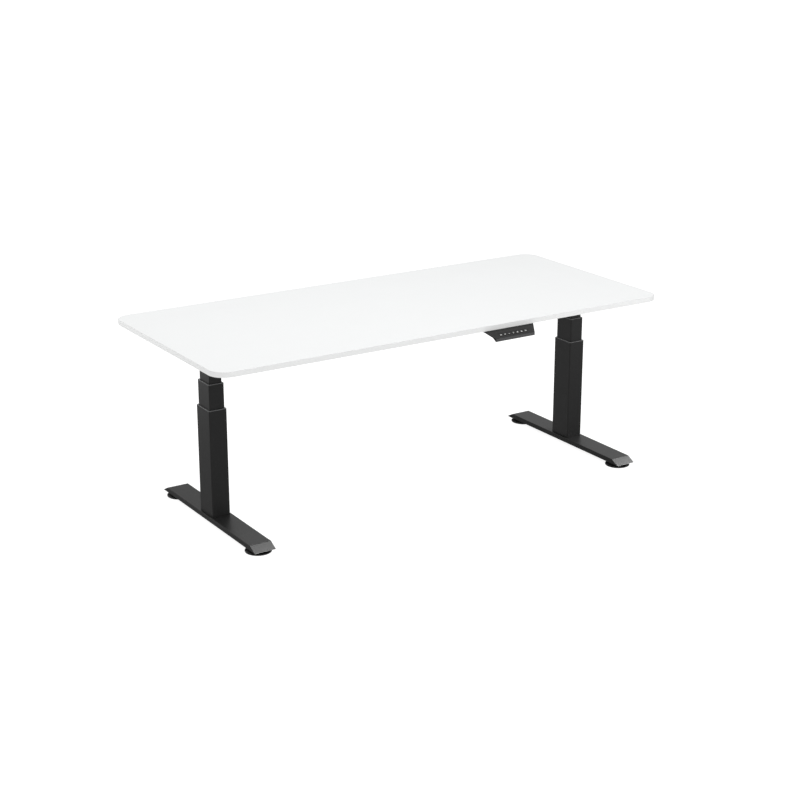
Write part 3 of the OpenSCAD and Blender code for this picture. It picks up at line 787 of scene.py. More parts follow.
def damping_pads():
    """Rubber rings with a waist, between the side brackets and the board."""
    pads = []
    ease, waist = 0.5 * MM, 0.4 * MM
    for low, high in solids("damping_pads"):
        radius = (high.x - low.x) / 2
        ring = [(SCREW_HOLE, low.z), (radius - ease, low.z), (radius, low.z + ease),
                (radius - waist, middle((low, high)).z), (radius, high.z - ease),
                (radius - ease, high.z), (SCREW_HOLE, high.z)]
        pads.append(placed(turned(ring, closed=True), over((low, high))))
    finished("damping_pads", joined(pads), RUBBER)


# ---------- frame under the desktop ----------

def side_brackets():
    """Welded angle: a tapering web, and over it a flange with the screw holes."""
    for name, side in sides():
        node = name + "_side_bracket"
        low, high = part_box(node)
        head_low, head_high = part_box(name + "_head_frame")
        web = (low.x, low.x + BRACKET_PLATE) if side > 0 else (high.x - BRACKET_PLATE, high.x)
        outline = [(low.y, high.z - BRACKET_TIP), (head_low.y, low.z), (head_high.y, low.z),
                   (high.y, high.z - BRACKET_TIP), (high.y, high.z), (low.y, high.z)]
        plate = prism(softened(outline, 6 * MM, 4), 0, BRACKET_PLATE)
        standing = Matrix(((0, 0, 1, web[0]), (1, 0, 0, 0), (0, 1, 0, 0), (0, 0, 0, 1)))
        flange_low = Vector((low.x, low.y, high.z - BRACKET_PLATE))
        flange = slab(flange_low, high, 6 * MM, eased_side(flange_low.z, high.z, 0, 0, 1))
        shape = fused(placed(plate, standing), flange)
        holes = [rod(SCREW_HOLE, low.z, high.z + PAST, place, 24)
                 for place in centres("damping_pads", within=(low, high))]
        bolt_hole, reach = 3.3 * MM, 30 * MM
        bore = turned([(bolt_hole, -reach), (bolt_hole, reach)], 24)
        holes += [placed(bore, at(*place) @ along_x()) for place in bracket_bolts(side)]
        finished(node, eased(cut(shape, *holes), 0.5 * MM, 2), FRAME_PAINT)


def box_tube(low, high, corner):
    """A rounded box section along X, with the rails' wall."""
    upright_low = Vector((low.y, low.z, low.x))
    upright_high = Vector((high.y, high.z, high.x))
    profile = eased_wall(low.x, high.x, RAIL_WALL, 0.4 * MM)
    return placed(slab(upright_low, upright_high, corner, profile, closed=True, steps=4), ON_ITS_SIDE)


def head_frames():
    """The column's head plate and end plate, with two box rails welded to them."""
    for name, side in sides():
        node = name + "_head_frame"
        low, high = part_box(node)
        gear_low, gear_high = middle_solid("gearbox_housings", side)
        rail_z = low.z + HEAD_PLATE
        weld, ease = 0.1 * MM, 0.8 * MM
        if side > 0:
            plate = (Vector((gear_low.x, low.y, low.z)), Vector((high.x, high.y, rail_z)))
            end = (Vector((high.x - HEAD_PLATE, low.y, low.z)), Vector((high.x, high.y, high.z)))
            rail_x = (low.x, high.x - HEAD_PLATE + weld)
        else:
            plate = (Vector((low.x, low.y, low.z)), Vector((gear_high.x, high.y, rail_z)))
            end = (Vector((low.x, low.y, low.z)), Vector((low.x + HEAD_PLATE, high.y, high.z)))
            rail_x = (low.x + HEAD_PLATE - weld, high.x)
        shape = fused(block(*plate, ease), block(*end, ease))
        rails = []
        for y0 in (low.y, high.y - RAIL_WIDTH):
            rail_low = Vector((rail_x[0], y0, rail_z))
            rail_high = Vector((rail_x[1], y0 + RAIL_WIDTH, rail_z + RAIL_HEIGHT))
            rails.append(box_tube(rail_low, rail_high, 3 * MM))
        spindle = middle(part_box(name + "_upper_spindle"))
        spindle_hole, bolt_hole, reach = 9 * MM, 3.1 * MM, 12 * MM
        holes = [rod(spindle_hole, low.z - PAST, rail_z + PAST, spindle)]
        bore = turned([(bolt_hole, -reach), (bolt_hole, reach)], 24)
        holes += [placed(bore, at(*place) @ along_x()) for place in bracket_bolts(side)]
        finished(node, joined([cut(shape, *holes)] + rails), FRAME_PAINT)


def centre_rails():
    """The sleeves that join the rails of the two head frames."""
    sleeves = [box_tube(low, high, 4 * MM) for low, high in solids("centre_rails")]
    finished("centre_rails", joined(sleeves), FRAME_PAINT)


# ---------- telescopic columns ----------

def plain_tube(node):
    """A rounded box section that fills that node's box, open at both ends."""
    low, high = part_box(node)
    profile = eased_wall(low.z, high.z, TUBE_WALL, 0.5 * MM)
    return slab(low, high, TUBE_CORNER, profile, closed=True, steps=8)


def plate_in_tube(node, z0, thickness, *holes):
    """The plate that closes a tube of that node near its lower end."""
    low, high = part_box(node)
    inset = Vector((TUBE_WALL, TUBE_WALL, 0)) * 0.99
    plate = slab(low + inset, high - inset, TUBE_CORNER - TUBE_WALL,
                 eased_side(z0, z0 + thickness, 0.2 * MM, 0.2 * MM, 1), steps=8)
    return cut(plate, *holes)


def tubes():
    """Outer tubes with an end plate, middle tubes with a bridge, and inner tubes."""
    bolt_hole, carrier_hole = 4.1 * MM, 16 * MM
    for name, side in sides():
        node = name + "_outer_tube"
        low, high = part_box(node)
        holes = [rod(bolt_hole, low.z - PAST, low.z + END_PLATE + PAST, place, 24)
                 for place in centres("foot_bolts", side=side)]
        plate = plate_in_tube(node, low.z, END_PLATE, *holes)
        finished(node, fused(plain_tube(node), plate), LIGHTENED_COLUMN_PAINT)

        node = name + "_middle_tube"
        low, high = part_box(node)
        bore = rod(carrier_hole, low.z - PAST, low.z + BRIDGE + PAST, middle((low, high)))
        plate = plate_in_tube(node, low.z, BRIDGE, bore)
        finished(node, fused(plain_tube(node), plate), LIGHTENED_COLUMN_PAINT)

        finished(name + "_inner_tube", plain_tube(name + "_inner_tube"), LIGHTENED_COLUMN_PAINT)


def liner(tube, inner_tube, skirt):
    """The plastic liner in the mouth of a tube: a skirt inside it and a collar over its rim."""
    low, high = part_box(tube)
    inner_low, inner_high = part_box(inner_tube)
    step = (high.x - low.x - (inner_high.x - inner_low.x)) / 2
    bore = step - SLIDE_GAP
    rim = high.z
    top = rim + 2 * MM
    foot, ease, inner_ease = 0.1 * MM, 0.9 * MM, 0.6 * MM
    profile = [(TUBE_WALL, rim - skirt), (TUBE_WALL, rim), (foot, rim)]
    profile += eased_side(rim + foot, top, 0.0, ease)[1:]
    profile += [(bore - inner_ease, top), (bore, top - inner_ease), (bore, rim - skirt)]

    def corner(inset):
        return TUBE_CORNER - (inset if inset <= TUBE_WALL else 0)

    return slab(low, high, corner, profile, closed=True, steps=8)


def shoe(tube, outer_tube):
    """The plastic shoe round the lower end of a tube, which slides inside the next one."""
    low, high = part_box(tube)
    reach = (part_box(outer_tube)[1].x - high.x) - TUBE_WALL - SLIDE_GAP
    around = Vector((reach, reach, 0))
    z0, z1 = low.z, low.z + SHOE_LENGTH
    groove = 0.5 * MM
    outside = eased_side(z0, z1, 0.8 * MM, 0.8 * MM)
    third = SHOE_LENGTH / 3
    waist = []
    for z in (z0 + third, z0 + 2 * third):
        waist += [(0, z - 1.5 * MM), (groove, z - 1 * MM), (groove, z + 1 * MM), (0, z + 1.5 * MM)]
    half = len(outside) // 2
    profile = outside[:half] + waist + outside[half:] + [(reach, z1), (reach, z0)]

    def corner(inset):
        return TUBE_CORNER if inset > reach / 2 else TUBE_CORNER - TUBE_WALL

    return slab(low - around, high + around, corner, profile, closed=True, steps=8)


def glides():
    """The liners in the mouths of the tubes and the shoes round their lower ends."""
    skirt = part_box("left_outer_tube")[1].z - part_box("outer_tube_glides")[0].z
    liners = []
    middles = []
    shoes = []
    for name, _ in sides():
        outer, mid, inner = [name + part for part in ("_outer_tube", "_middle_tube", "_inner_tube")]
        liners.append(liner(outer, mid, skirt))
        middles.append((mid + "_glides", [liner(mid, inner, skirt), shoe(mid, outer)]))
        shoes.append(shoe(inner, mid))
    for node, shapes in [("outer_tube_glides", liners)] + middles + [("inner_tube_glides", shoes)]:
        finished(node, joined(shapes), LIGHTENED_GLIDE_PLASTIC)


# ---------- screws and nuts of the columns ----------

def pipe(box, wall, ease=0.5 * MM):
    """A round pipe about the Z axis that fills the box."""
    low, high = box
    radius = (high.y - low.y) / 2
    profile = [(radius - inset, z) for inset, z in eased_wall(low.z, high.z, wall, ease)]
    return placed(turned(profile, 48, closed=True), over(box))


def upper_nut(box):
    """A nut with a flange at its lower end."""
    low, high = box
    flange = (high.x - low.x) / 2
    body, bore, thick, ease = 15 * MM, 6.3 * MM, 6 * MM, 0.8 * MM
    profile = softened([(bore, low.z), (flange, low.z), (flange, low.z + thick), (body, low.z + thick),
                        (body, high.z), (bore, high.z)], ease)
    return placed(turned(profile, 48, closed=True), over(box))


def upper_spindle(box, shoulder):
    """A two-start screw, and over its shoulder a plain journal for the worm wheel."""
    low, high = box
    radius = (high.x - low.x) / 2
    journal, tip = 5 * MM, 0.5 * MM
    thread = threaded(radius - 1.3 * MM, radius, low.z, shoulder, SCREW_LEAD, SCREW_STARTS)
    end = turned([(0, shoulder), (journal, shoulder), (journal, high.z - tip),
                  (journal - tip, high.z), (0, high.z)])
    return placed(joined([thread, end]), over(box))


def lower_spindle(box):
    """A hollow two-start screw with a collar near its upper end."""
    low, high = box
    radius, bore, collar = 10 * MM, 6.6 * MM, 15 * MM
    ring_top = high.z - 2 * MM
    ring_low = ring_top - 6 * MM
    root = radius - 1.5 * MM
    thread = threaded(root, radius, low.z, ring_low, SCREW_LEAD, SCREW_STARTS, 28, bore)
    profile = softened([(bore, ring_low), (collar, ring_low), (collar, ring_top), (radius, ring_top),
                        (radius, high.z), (bore, high.z)], 0.5 * MM)
    return placed(joined([thread, turned(profile, 48, closed=True)]), over(box))


def column_screws():
    """Tubes, nuts and spindles on the axis of each column."""
    support_wall, nut_wall, nut_ease, carrier_wall = 2 * MM, 3.7 * MM, 1 * MM, 3 * MM
    supports = [pipe(box, support_wall) for box in solids("support_tubes")]
    finished("support_tubes", joined(supports), STEEL)
    nuts = [pipe(box, nut_wall, nut_ease) for box in solids("lower_nuts")]
    finished("lower_nuts", joined(nuts), ACETAL)
    for name, _ in sides():
        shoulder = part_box(name + "_worm_wheel")[0].z
        carrier, nut, upper, lower = [
            name + part for part in ("_carrier_tube", "_upper_nut", "_upper_spindle", "_lower_spindle")]
        finished(carrier, pipe(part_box(carrier), carrier_wall), STEEL)
        finished(nut, upper_nut(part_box(nut)), ACETAL)
        finished(upper, upper_spindle(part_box(upper), shoulder), STEEL)
        finished(lower, lower_spindle(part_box(lower)), STEEL)


# ---------- gearboxes and motors ----------

def for_both_columns(shape):
    """Copies of a shape drawn in a column's own frame, whose +X points to the desk's middle."""
    return [placed(shape, over(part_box(name + "_upper_spindle")) @ Matrix.Diagonal((-side, 1, 1, 1)))
            for name, side in sides()]


def in_column_frame(node):
    """The box of the left column's solid of a node, in that column's own frame."""
    centre = middle(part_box("left_upper_spindle"))
    low, high = middle_solid(node, LEFT)
    shift = Vector((centre.x, centre.y, 0))
    return low - shift, high - shift


def ball_bearing(bore, radius, z0, z1):
    """Two races, and between them a shield that is set back."""
    race = 0.24 * (radius - bore)
    back = 0.4 * MM
    ring = [(bore, z0), (bore + race, z0), (bore + race, z0 + back), (radius - race, z0 + back),
            (radius - race, z0), (radius, z0)]
    ring += [(r, z0 + z1 - z) for r, z in reversed(ring)]
    return turned(softened(ring, 0.3 * MM, 2), 40, closed=True)


def gearbox_housings():
    """A cast box with a round chamber for the worm wheel, a tunnel for the worm and sunk panels."""
    low, high = in_column_frame("gearbox_housings")
    wall, room = 4 * MM, 2 * MM
    wheel_low, wheel_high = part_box("left_worm_wheel")
    wheel_radius = (wheel_high.y - wheel_low.y) / 2
    axis = middle(in_column_frame("motor_cans"))
    body = slab(low, high, GEARBOX_CORNER, eased_side(low.z, high.z, 1.2 * MM, 0.4 * MM), steps=5)
    here = Vector((0, 0, 0))
    bearing_hole, worm_tunnel = 13 * MM, 8.5 * MM
    cavity = rod(wheel_radius + room, low.z + wall, high.z + PAST, here, 48)
    floor_hole = rod(bearing_hole, low.z - PAST, low.z + wall + PAST, here, 40)
    tunnel = rod(worm_tunnel, low.x + wall, high.x + PAST, here)
    tools = [cavity, floor_hole, placed(tunnel, at(0, axis.y, axis.z) @ along_x())]
    pocket, gap, border, count = 1.2 * MM, 3 * MM, 5 * MM, 4
    width = (high.x - low.x - 2 * border - (count + 1) * gap) / count
    for i in range(count):
        x = low.x + border + gap + i * (width + gap)
        for y in (low.y - PAST, high.y - pocket):
            tools.append(block((x, y, low.z + border), (x + width, y + pocket + PAST, high.z - border)))
    finished("gearbox_housings", joined(for_both_columns(cut(body, *tools))), CASTING)


def gearbox_covers():
    """A plate with a dished ring, and under it the collar round the upper bearing."""
    low, high = in_column_frame("gearbox_covers")
    joint = in_column_frame("gearbox_housings")[1].z
    plate = slab(low, high, GEARBOX_CORNER, eased_side(joint, high.z, 0.2 * MM, 0.8 * MM), steps=5)
    collar, seat, ease = 16 * MM, UPPER_BEARING, 0.5 * MM
    ring = turned([(seat, low.z), (collar - ease, low.z), (collar, low.z + ease),
                   (collar, joint + ease), (seat, joint + ease)], 40, closed=True)
    dish_low, dish_high = high.z - 0.6 * MM, high.z + PAST
    dish = turned([(seat + 4 * MM, dish_low), (seat + 4.6 * MM, dish_high),
                   (seat + 8 * MM, dish_high), (seat + 8.6 * MM, dish_low)], 40, closed=True)
    finished("gearbox_covers", joined(for_both_columns(cut(fused(plate, ring), dish))), CASTING)


def gearbox_bearings():
    """One in the floor of each housing, and one over each worm wheel."""
    floor = in_column_frame("gearbox_housings")[0].z
    wheel_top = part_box("left_worm_wheel")[1].z
    lower_bore, lower_radius, lower_height = 6.05 * MM, 13 * MM, 5 * MM
    upper_bore, upper_low, upper_high = 5.05 * MM, wheel_top + 1 * MM, wheel_top + 7 * MM
    lower = ball_bearing(lower_bore, lower_radius, floor, floor + lower_height)
    upper = ball_bearing(upper_bore, UPPER_BEARING, upper_low, upper_high)
    finished("gearbox_bearings", joined(for_both_columns(lower) + for_both_columns(upper)), STEEL)


def motor_can(length, radius):
    """A drawn can with pressed-in end plates, a rolled groove near each end and a bearing boss."""
    wall, end, bore, boss, boss_height = 2 * MM, 3 * MM, 5 * MM, 14 * MM, 5 * MM
    body = length - boss_height
    from_end, chamfer, boss_chamfer, step = 9 * MM, 1.6 * MM, 0.8 * MM, 0.6 * MM
    in_groove = radius - step
    inside = [(0, body), (bore, body), (bore, body - end), (radius - wall, body - end),
              (radius - wall, end), (bore, end), (bore, 0)]
    outside = [(radius - chamfer, 0), (radius, chamfer)]
    for h in (from_end, body - from_end):
        outside += [(radius, h - 1.2 * MM), (in_groove, h - 0.5 * MM),
                    (in_groove, h + 0.5 * MM), (radius, h + 1.2 * MM)]
    outside += [(radius, body - 2 * MM), (radius - 2 * MM, body), (radius - 4 * MM, body),
                (radius - 4.4 * MM, body - step), (boss + step, body - step), (boss, body),
                (boss, length - boss_chamfer), (boss - boss_chamfer, length), (0, length)]
    return turned(inside + outside, 64)


def motor_cans():
    low, high = in_column_frame("motor_cans")
    axis = middle((low, high))
    can = motor_can(high.x - low.x, (high.y - low.y) / 2)
    can = placed(can, at(low.x, axis.y, axis.z) @ along_x())
    finished("motor_cans", joined(for_both_columns(can)), MOTOR_PAINT)


def worm_wheels():
    """A toothed wheel with a recess in each face, on the journal of the upper spindle."""
    for name, side in sides():
        node = name + "_worm_wheel"
        low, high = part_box(node)
        teeth = 30
        crest = (high.y - low.y) / 2
        root = crest - 1.8 * MM
        half_root, half_crest = 1.35 * MM, 0.7 * MM
        tooth = ((root, -half_root), (crest, -half_crest), (crest, half_crest), (root, half_root))
        outline = []
        for i in range(teeth):
            for radius, half in tooth:
                angle = 2 * math.pi * i / teeth + half / radius
                outline.append((radius * math.cos(angle), radius * math.sin(angle)))
        rim = 0.3 * MM
        levels = eased_side(low.z, high.z, rim, rim, 1)
        rings = [[(x * (1 - inset / crest), y * (1 - inset / crest), z) for x, y in outline]
                 for inset, z in levels]
        bore, recess, hub, inner_rim = 5.05 * MM, 1.6 * MM, 9 * MM, 17 * MM
        tools = [rod(bore, low.z - PAST, high.z + PAST, Vector((0, 0)))]
        for z0, z1 in ((low.z - PAST, low.z + recess), (high.z - recess, high.z + PAST)):
            tools.append(turned([(hub, z0), (inner_rim, z0), (inner_rim, z1), (hub, z1)], 40, closed=True))
        place = over((low, high)) @ Matrix.Diagonal((-side, 1, 1, 1))
        finished(node, placed(cut(lofted(rings), *tools), place), BRONZE)


def motor_rotors():
    """Shaft, slotted core and worm on one axis, drawn up the Z axis."""
    for name, side in sides():
        node = name + "_motor_rotor"
        low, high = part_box(node)
        length = high.x - low.x
        core = (high.y - low.y) / 2
        shaft, worm, worm_start, worm_length, worm_pitch = 4 * MM, 6.5 * MM, 7 * MM, 38 * MM, 4.4 * MM
        core_start, core_length, slots, slot_depth, slot_share = 77 * MM, 56 * MM, 12, 3 * MM, 0.1
        tip, rim = 0.5 * MM, 0.6 * MM
        core_end = core_start + core_length
        axle = turned([(0, 0), (shaft - tip, 0), (shaft, tip), (shaft, length - tip),
                       (shaft - tip, length), (0, length)], 24)

        def slotted(inset):
            def radius(angle):
                in_slot = (angle * slots / math.tau + 0.55) % 1 < slot_share
                return core - inset - (slot_depth if in_slot else 0)

            return radius

        stack = ringed([(core_start, slotted(rim)), (core_start + rim, slotted(0)),
                        (core_end - rim, slotted(0)), (core_end, slotted(rim))], slots * 16)
        screw = placed(threaded(shaft + 0.8 * MM, worm, 0, worm_length, worm_pitch), at(0, 0, worm_start))
        shape = fused(axle, stack, screw)
        centre = middle((low, high))
        start = low.x if side == LEFT else high.x
        place = at(start, centre.y, centre.z) @ along_x(-side)
        finished(node, placed(shape, place), STEEL)


# ---------- feet ----------

def foot_bar(low, high, inset, floor):
    """The bar with sloping ends, shrunk all round by a wall's thickness."""
    run = FOOT_SLOPE / (high.z - low.z)
    centre = (low.y + high.y) / 2
    half = (high.y - low.y) / 2 - inset * math.sqrt(1 + run * run)
    top = high.z - inset
    at_floor = half - (floor - low.z) * run
    at_top = half - (top - low.z) * run
    outline = [(centre - at_floor, floor), (centre + at_floor, floor),
               (centre + at_top, top), (centre - at_top, top)]
    return placed(prism(outline, low.x + inset, high.x - inset), ON_ITS_SIDE)


def feet():
    """Hollow bars, open underneath, with a threaded boss at each end for a levelling stud."""
    boss, bore, hole = 12 * MM, 5.3 * MM, 4.4 * MM
    for name, side in sides():
        node = name + "_foot"
        low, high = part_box(node)
        bar = eased(foot_bar(low, high, 0, low.z), 1.5 * MM, 4, sharper_than=20)
        hollow = eased(foot_bar(low, high, FOOT_WALL, low.z - 2 * MM), 1 * MM, 2)
        studs = [middle(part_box(name + "_" + end + "_stud")) for end in ("front", "back")]
        bosses = [rod(boss, low.z + 1.5 * MM, high.z - 1 * MM, place) for place in studs]
        bores = [rod(bore, low.z, high.z - FOOT_WALL, place, 24) for place in studs]
        bolts = centres("foot_bolts", side=side)
        bores += [rod(hole, low.z, high.z + PAST, place, 24) for place in bolts]
        finished(node, cut(fused(cut(bar, hollow), *bosses), *bores), SHADED_FOOT_PAINT)


def levelling_pad(radius, height):
    """A flat cone with a rounded rim, a sunk ring round its hub, and a grip ring underneath."""
    socket, floor, hub, sunk = 7 * MM, 4 * MM, 11 * MM, 0.9 * MM
    line = [(0, sunk), (radius - 11 * MM, sunk), (radius - 10 * MM, 0), (radius - 1 * MM, 0),
            (radius, 1 * MM), (radius, 3.5 * MM), (radius - 1.5 * MM, 5 * MM),
            (radius - 15 * MM, height), (radius - 17 * MM, height), (radius - 18 * MM, height - sunk),
            (hub + 1.5 * MM, height - sunk), (hub, height), (socket + 0.5 * MM, height),
            (socket, height - 0.5 * MM), (socket, floor), (0, floor)]
    ease = 0.7 * MM
    return turned(softened(line, ease, 4, closed=False), 72)


def levelling_stud(height):
    """A ball-ended stud with a hexagon for the spanner and a rolled thread."""
    corner, radius, base, thread = 8 * MM, 5 * MM, 6.7 * MM, 1.5 * MM
    flats = hexagon(2 * corner * math.cos(math.pi / 6))

    def spanner_flats(limit):
        return lambda a: min(flats(a + math.pi / 6), limit)

    bead, hex_low, hex_high, chamfer = 5.3 * MM, 6.1 * MM, 9.1 * MM, 0.5 * MM
    neck, groove, groove_top = radius - 0.2 * MM, radius - 0.7 * MM, hex_high + 0.6 * MM
    whole, rounded = spanner_flats(corner), spanner_flats(7.2 * MM)
    foot = ringed([(0, 0), (0, base - 1.2 * MM), (1.2 * MM, base), (3.6 * MM, base),
                   (bead - 0.3 * MM, radius + 0.3 * MM), (bead, neck), (hex_low, neck),
                   (hex_low, rounded), (hex_low + chamfer, whole), (hex_high - chamfer, whole),
                   (hex_high, rounded), (hex_high, groove), (groove_top, groove), (groove_top, 0)], 48)
    root, tip_start = radius - 0.85 * MM, height - 1 * MM
    screw = threaded(root, radius, hex_high + 0.3 * MM, height - 0.7 * MM, thread)
    tip = turned([(0, tip_start), (root, tip_start), (radius - 1.3 * MM, height), (0, height)], 24)
    return fused(foot, screw, tip)


def pads_and_studs():
    """A levelling pad under each end of each foot, with its stud."""
    for name, _ in sides():
        for end in ("front", "back"):
            node = name + "_" + end + "_pad"
            low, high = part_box(node)
            pad = levelling_pad((high.x - low.x) / 2, high.z - low.z)
            finished(node, placed(pad, over((low, high), low.z)), PAD_PLASTIC)
            node = name + "_" + end + "_stud"
            low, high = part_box(node)
            finished(node, placed(levelling_stud(high.z - low.z), over((low, high), low.z)), ZINC)


# ---------- keypad ----------

KEYPAD_REACH = 40 * MM
KEYPAD_DROP = 20 * MM
KEYPAD_LIP = 10 * MM
KEYPAD_TAPER = 23 * MM
KEYPAD_CHIN = 12 * MM
KEYPAD_BACK_HEIGHT = 12 * MM
KEYPAD_EDGE_HEIGHT = 14.5 * MM
KEYPAD_WALL = 2 * MM
KEYPAD_BODY_WIDTH = 156 * MM
KEYPAD_FACE = 3 * MM
KEYPAD_FACE_BACK = 8 * MM
KEYPAD_TILT = Matrix.Rotation(math.atan(KEYPAD_DROP / KEYPAD_REACH), 4, "X")
BUTTONS = ("up_button", "down_button", "preset_button_1", "preset_button_2", "preset_button_3",
           "preset_button_4", "memory_button")


def tilted_size(box):
    """Width, depth and height of a block on the keypad's slope, from its upright box."""
    size = box[1] - box[0]
    c, s = KEYPAD_TILT[1][1], KEYPAD_TILT[2][1]
    stretch = c * c - s * s
    return size.x, (c * size.y - s * size.z) / stretch, (c * size.z - s * size.y) / stretch


def keypad_body(inset):
    """The hollow wedge behind the face, or its inside when shrunk by the wall, in the desk's frame."""
    low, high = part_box("keypad_housing")
    edge_y = low.y + KEYPAD_REACH
    back = high.y - edge_y
    bottom = inset - KEYPAD_DROP - KEYPAD_LIP
    front = inset - KEYPAD_REACH
    side_view = [(back - inset, -inset), (inset / 2, -inset), (front, -KEYPAD_DROP - inset / 2),
                 (front, bottom), (KEYPAD_CHIN - KEYPAD_REACH, bottom),
                 (0, inset - KEYPAD_EDGE_HEIGHT), (back - inset, inset - KEYPAD_BACK_HEIGHT)]
    half = KEYPAD_BODY_WIDTH / 2 - inset
    solid = placed(prism(side_view, -half, half), ON_ITS_SIDE)
    return placed(solid, at((low.x + high.x) / 2, edge_y, high.z))


def keypad_face():
    """The sloping plate with its lip, which narrows towards the user."""
    low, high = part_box("keypad_housing")
    thick, reach, back = KEYPAD_FACE, KEYPAD_REACH, KEYPAD_FACE_BACK
    lip_top, lip_end = -KEYPAD_DROP, -KEYPAD_DROP - KEYPAD_LIP
    side_view = [(back, 0), (0, 0), (-reach, lip_top), (-reach, lip_end), (thick - reach, lip_end),
                 (thick - reach, lip_top - thick / 2), (0, -thick), (back, -thick)]
    wide = (high.x - low.x) / 2
    narrow = wide - KEYPAD_TAPER
    solid = placed(prism(side_view, -wide, wide), ON_ITS_SIDE)
    front = -reach - PAST
    plan = [(-narrow, front), (narrow, front), (wide, 0), (wide, 2 * back), (-wide, 2 * back), (-wide, 0)]
    outline = prism(plan, 1.2 * (low.z - high.z), 0.2 * (high.z - low.z))
    shape = combined(solid, [outline], "INTERSECT")
    return placed(shape, at((low.x + high.x) / 2, low.y + reach, high.z))


def on_keypad(box, shape):
    """Lays a shape that is drawn round the origin over a block on the keypad's slope."""
    return placed(shape, Matrix.Translation(middle(box)) @ KEYPAD_TILT)


def keypad_housing():
    """The face and the hollow body as one shell, with pockets for the buttons in a sunk strip."""
    low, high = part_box("keypad_housing")
    body = eased(fused(keypad_face(), keypad_body(0)), 0.9 * MM, 3, sharper_than=15)
    tools = [keypad_body(KEYPAD_WALL)]
    gap, proud, sunk = 0.3 * MM, 0.8 * MM, 0.4 * MM
    for node in BUTTONS:
        width, depth, height = tilted_size(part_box(node))
        reach = Vector((width / 2 + gap, depth / 2 + gap, 0))
        pocket = slab(-reach, reach, 2.3 * MM, [(0, -height / 2), (0, height)], steps=4)
        tools.append(on_keypad(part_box(node), pocket))
    row = (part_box(BUTTONS[0])[0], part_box(BUTTONS[-1])[1])
    depth, height = tilted_size(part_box(BUTTONS[0]))[1:]
    reach = Vector(((row[1].x - row[0].x) / 2 + 5 * MM, depth / 2 + 4 * MM, 0))
    surface = height / 2 - proud
    strip = slab(-reach, reach, 4 * MM, [(0.3 * MM, surface - sunk), (0, surface + PAST)])
    tools.append(on_keypad(row, strip))
    tools += [rod(CASE_HOLE, high.z - 2 * KEYPAD_WALL, high.z + PAST, place, 24)
              for place in centres("wood_screws", within=(low, high))]
    shape = cut(body, *tools)
    for polygon in shape.polygons:
        if polygon.center.y < low.y + 0.5 * MM and polygon.center.z < high.z - KEYPAD_DROP:
            polygon.material_index = 1
    finished("keypad_housing", shape, KEYPAD_PLASTIC, KEYPAD_LIP_PLASTIC)


def mark(index, top):
    """The raised sign on a button: arrows for up and down, one to four pips, and a ring to store."""
    z0, z1 = top - 0.5 * MM, top + 0.12 * MM
    if index < 2:
        way = 1 if index == 0 else -1
        half, foot, point = 2.9 * MM, -1.8 * MM * way, 2.4 * MM * way
        arrow = softened([(-half, foot), (half, foot), (0, point)], 0.5 * MM)
        return prism(arrow if way > 0 else list(reversed(arrow)), z0, z1)
    if index == len(BUTTONS) - 1:
        return turned([(1.5 * MM, z0), (2.6 * MM, z0), (2.6 * MM, z1), (1.5 * MM, z1)], 32, closed=True)
    pips = index - 1
    spread = 0 if pips == 1 else 1.5 * MM / math.sin(math.pi / pips)
    pip = turned([(1.15 * MM, z0), (1.15 * MM, z1)], 20)
    turns = [2 * math.pi * i / pips + math.pi / max(pips, 2) for i in range(pips)]
    return joined([placed(pip, at(spread * math.cos(turn), spread * math.sin(turn))) for turn in turns])


def buttons():
    """Keycaps with a dished crown, each with its sign."""
    for index, node in enumerate(BUTTONS):
        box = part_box(node)
        width, depth, height = tilted_size(box)
        reach = Vector((width / 2, depth / 2, 0))
        dish = 0.25 * MM
        sides_up = eased_side(-height / 2, height / 2, 0.2 * MM, 0.5 * MM)
        crown = [(1.1 * MM, height / 2 - 0.1 * MM), (1.8 * MM, height / 2 - dish)]
        cap = slab(-reach, reach, lambda inset: max(2 * MM - inset, 0.5 * MM), sides_up + crown, steps=5)
        sign = painted(mark(index, height / 2 - dish), 1)
        finished(node, on_keypad(box, joined([cap, sign])), BUTTON_PLASTIC, LEGEND)


# ---------- control box ----------

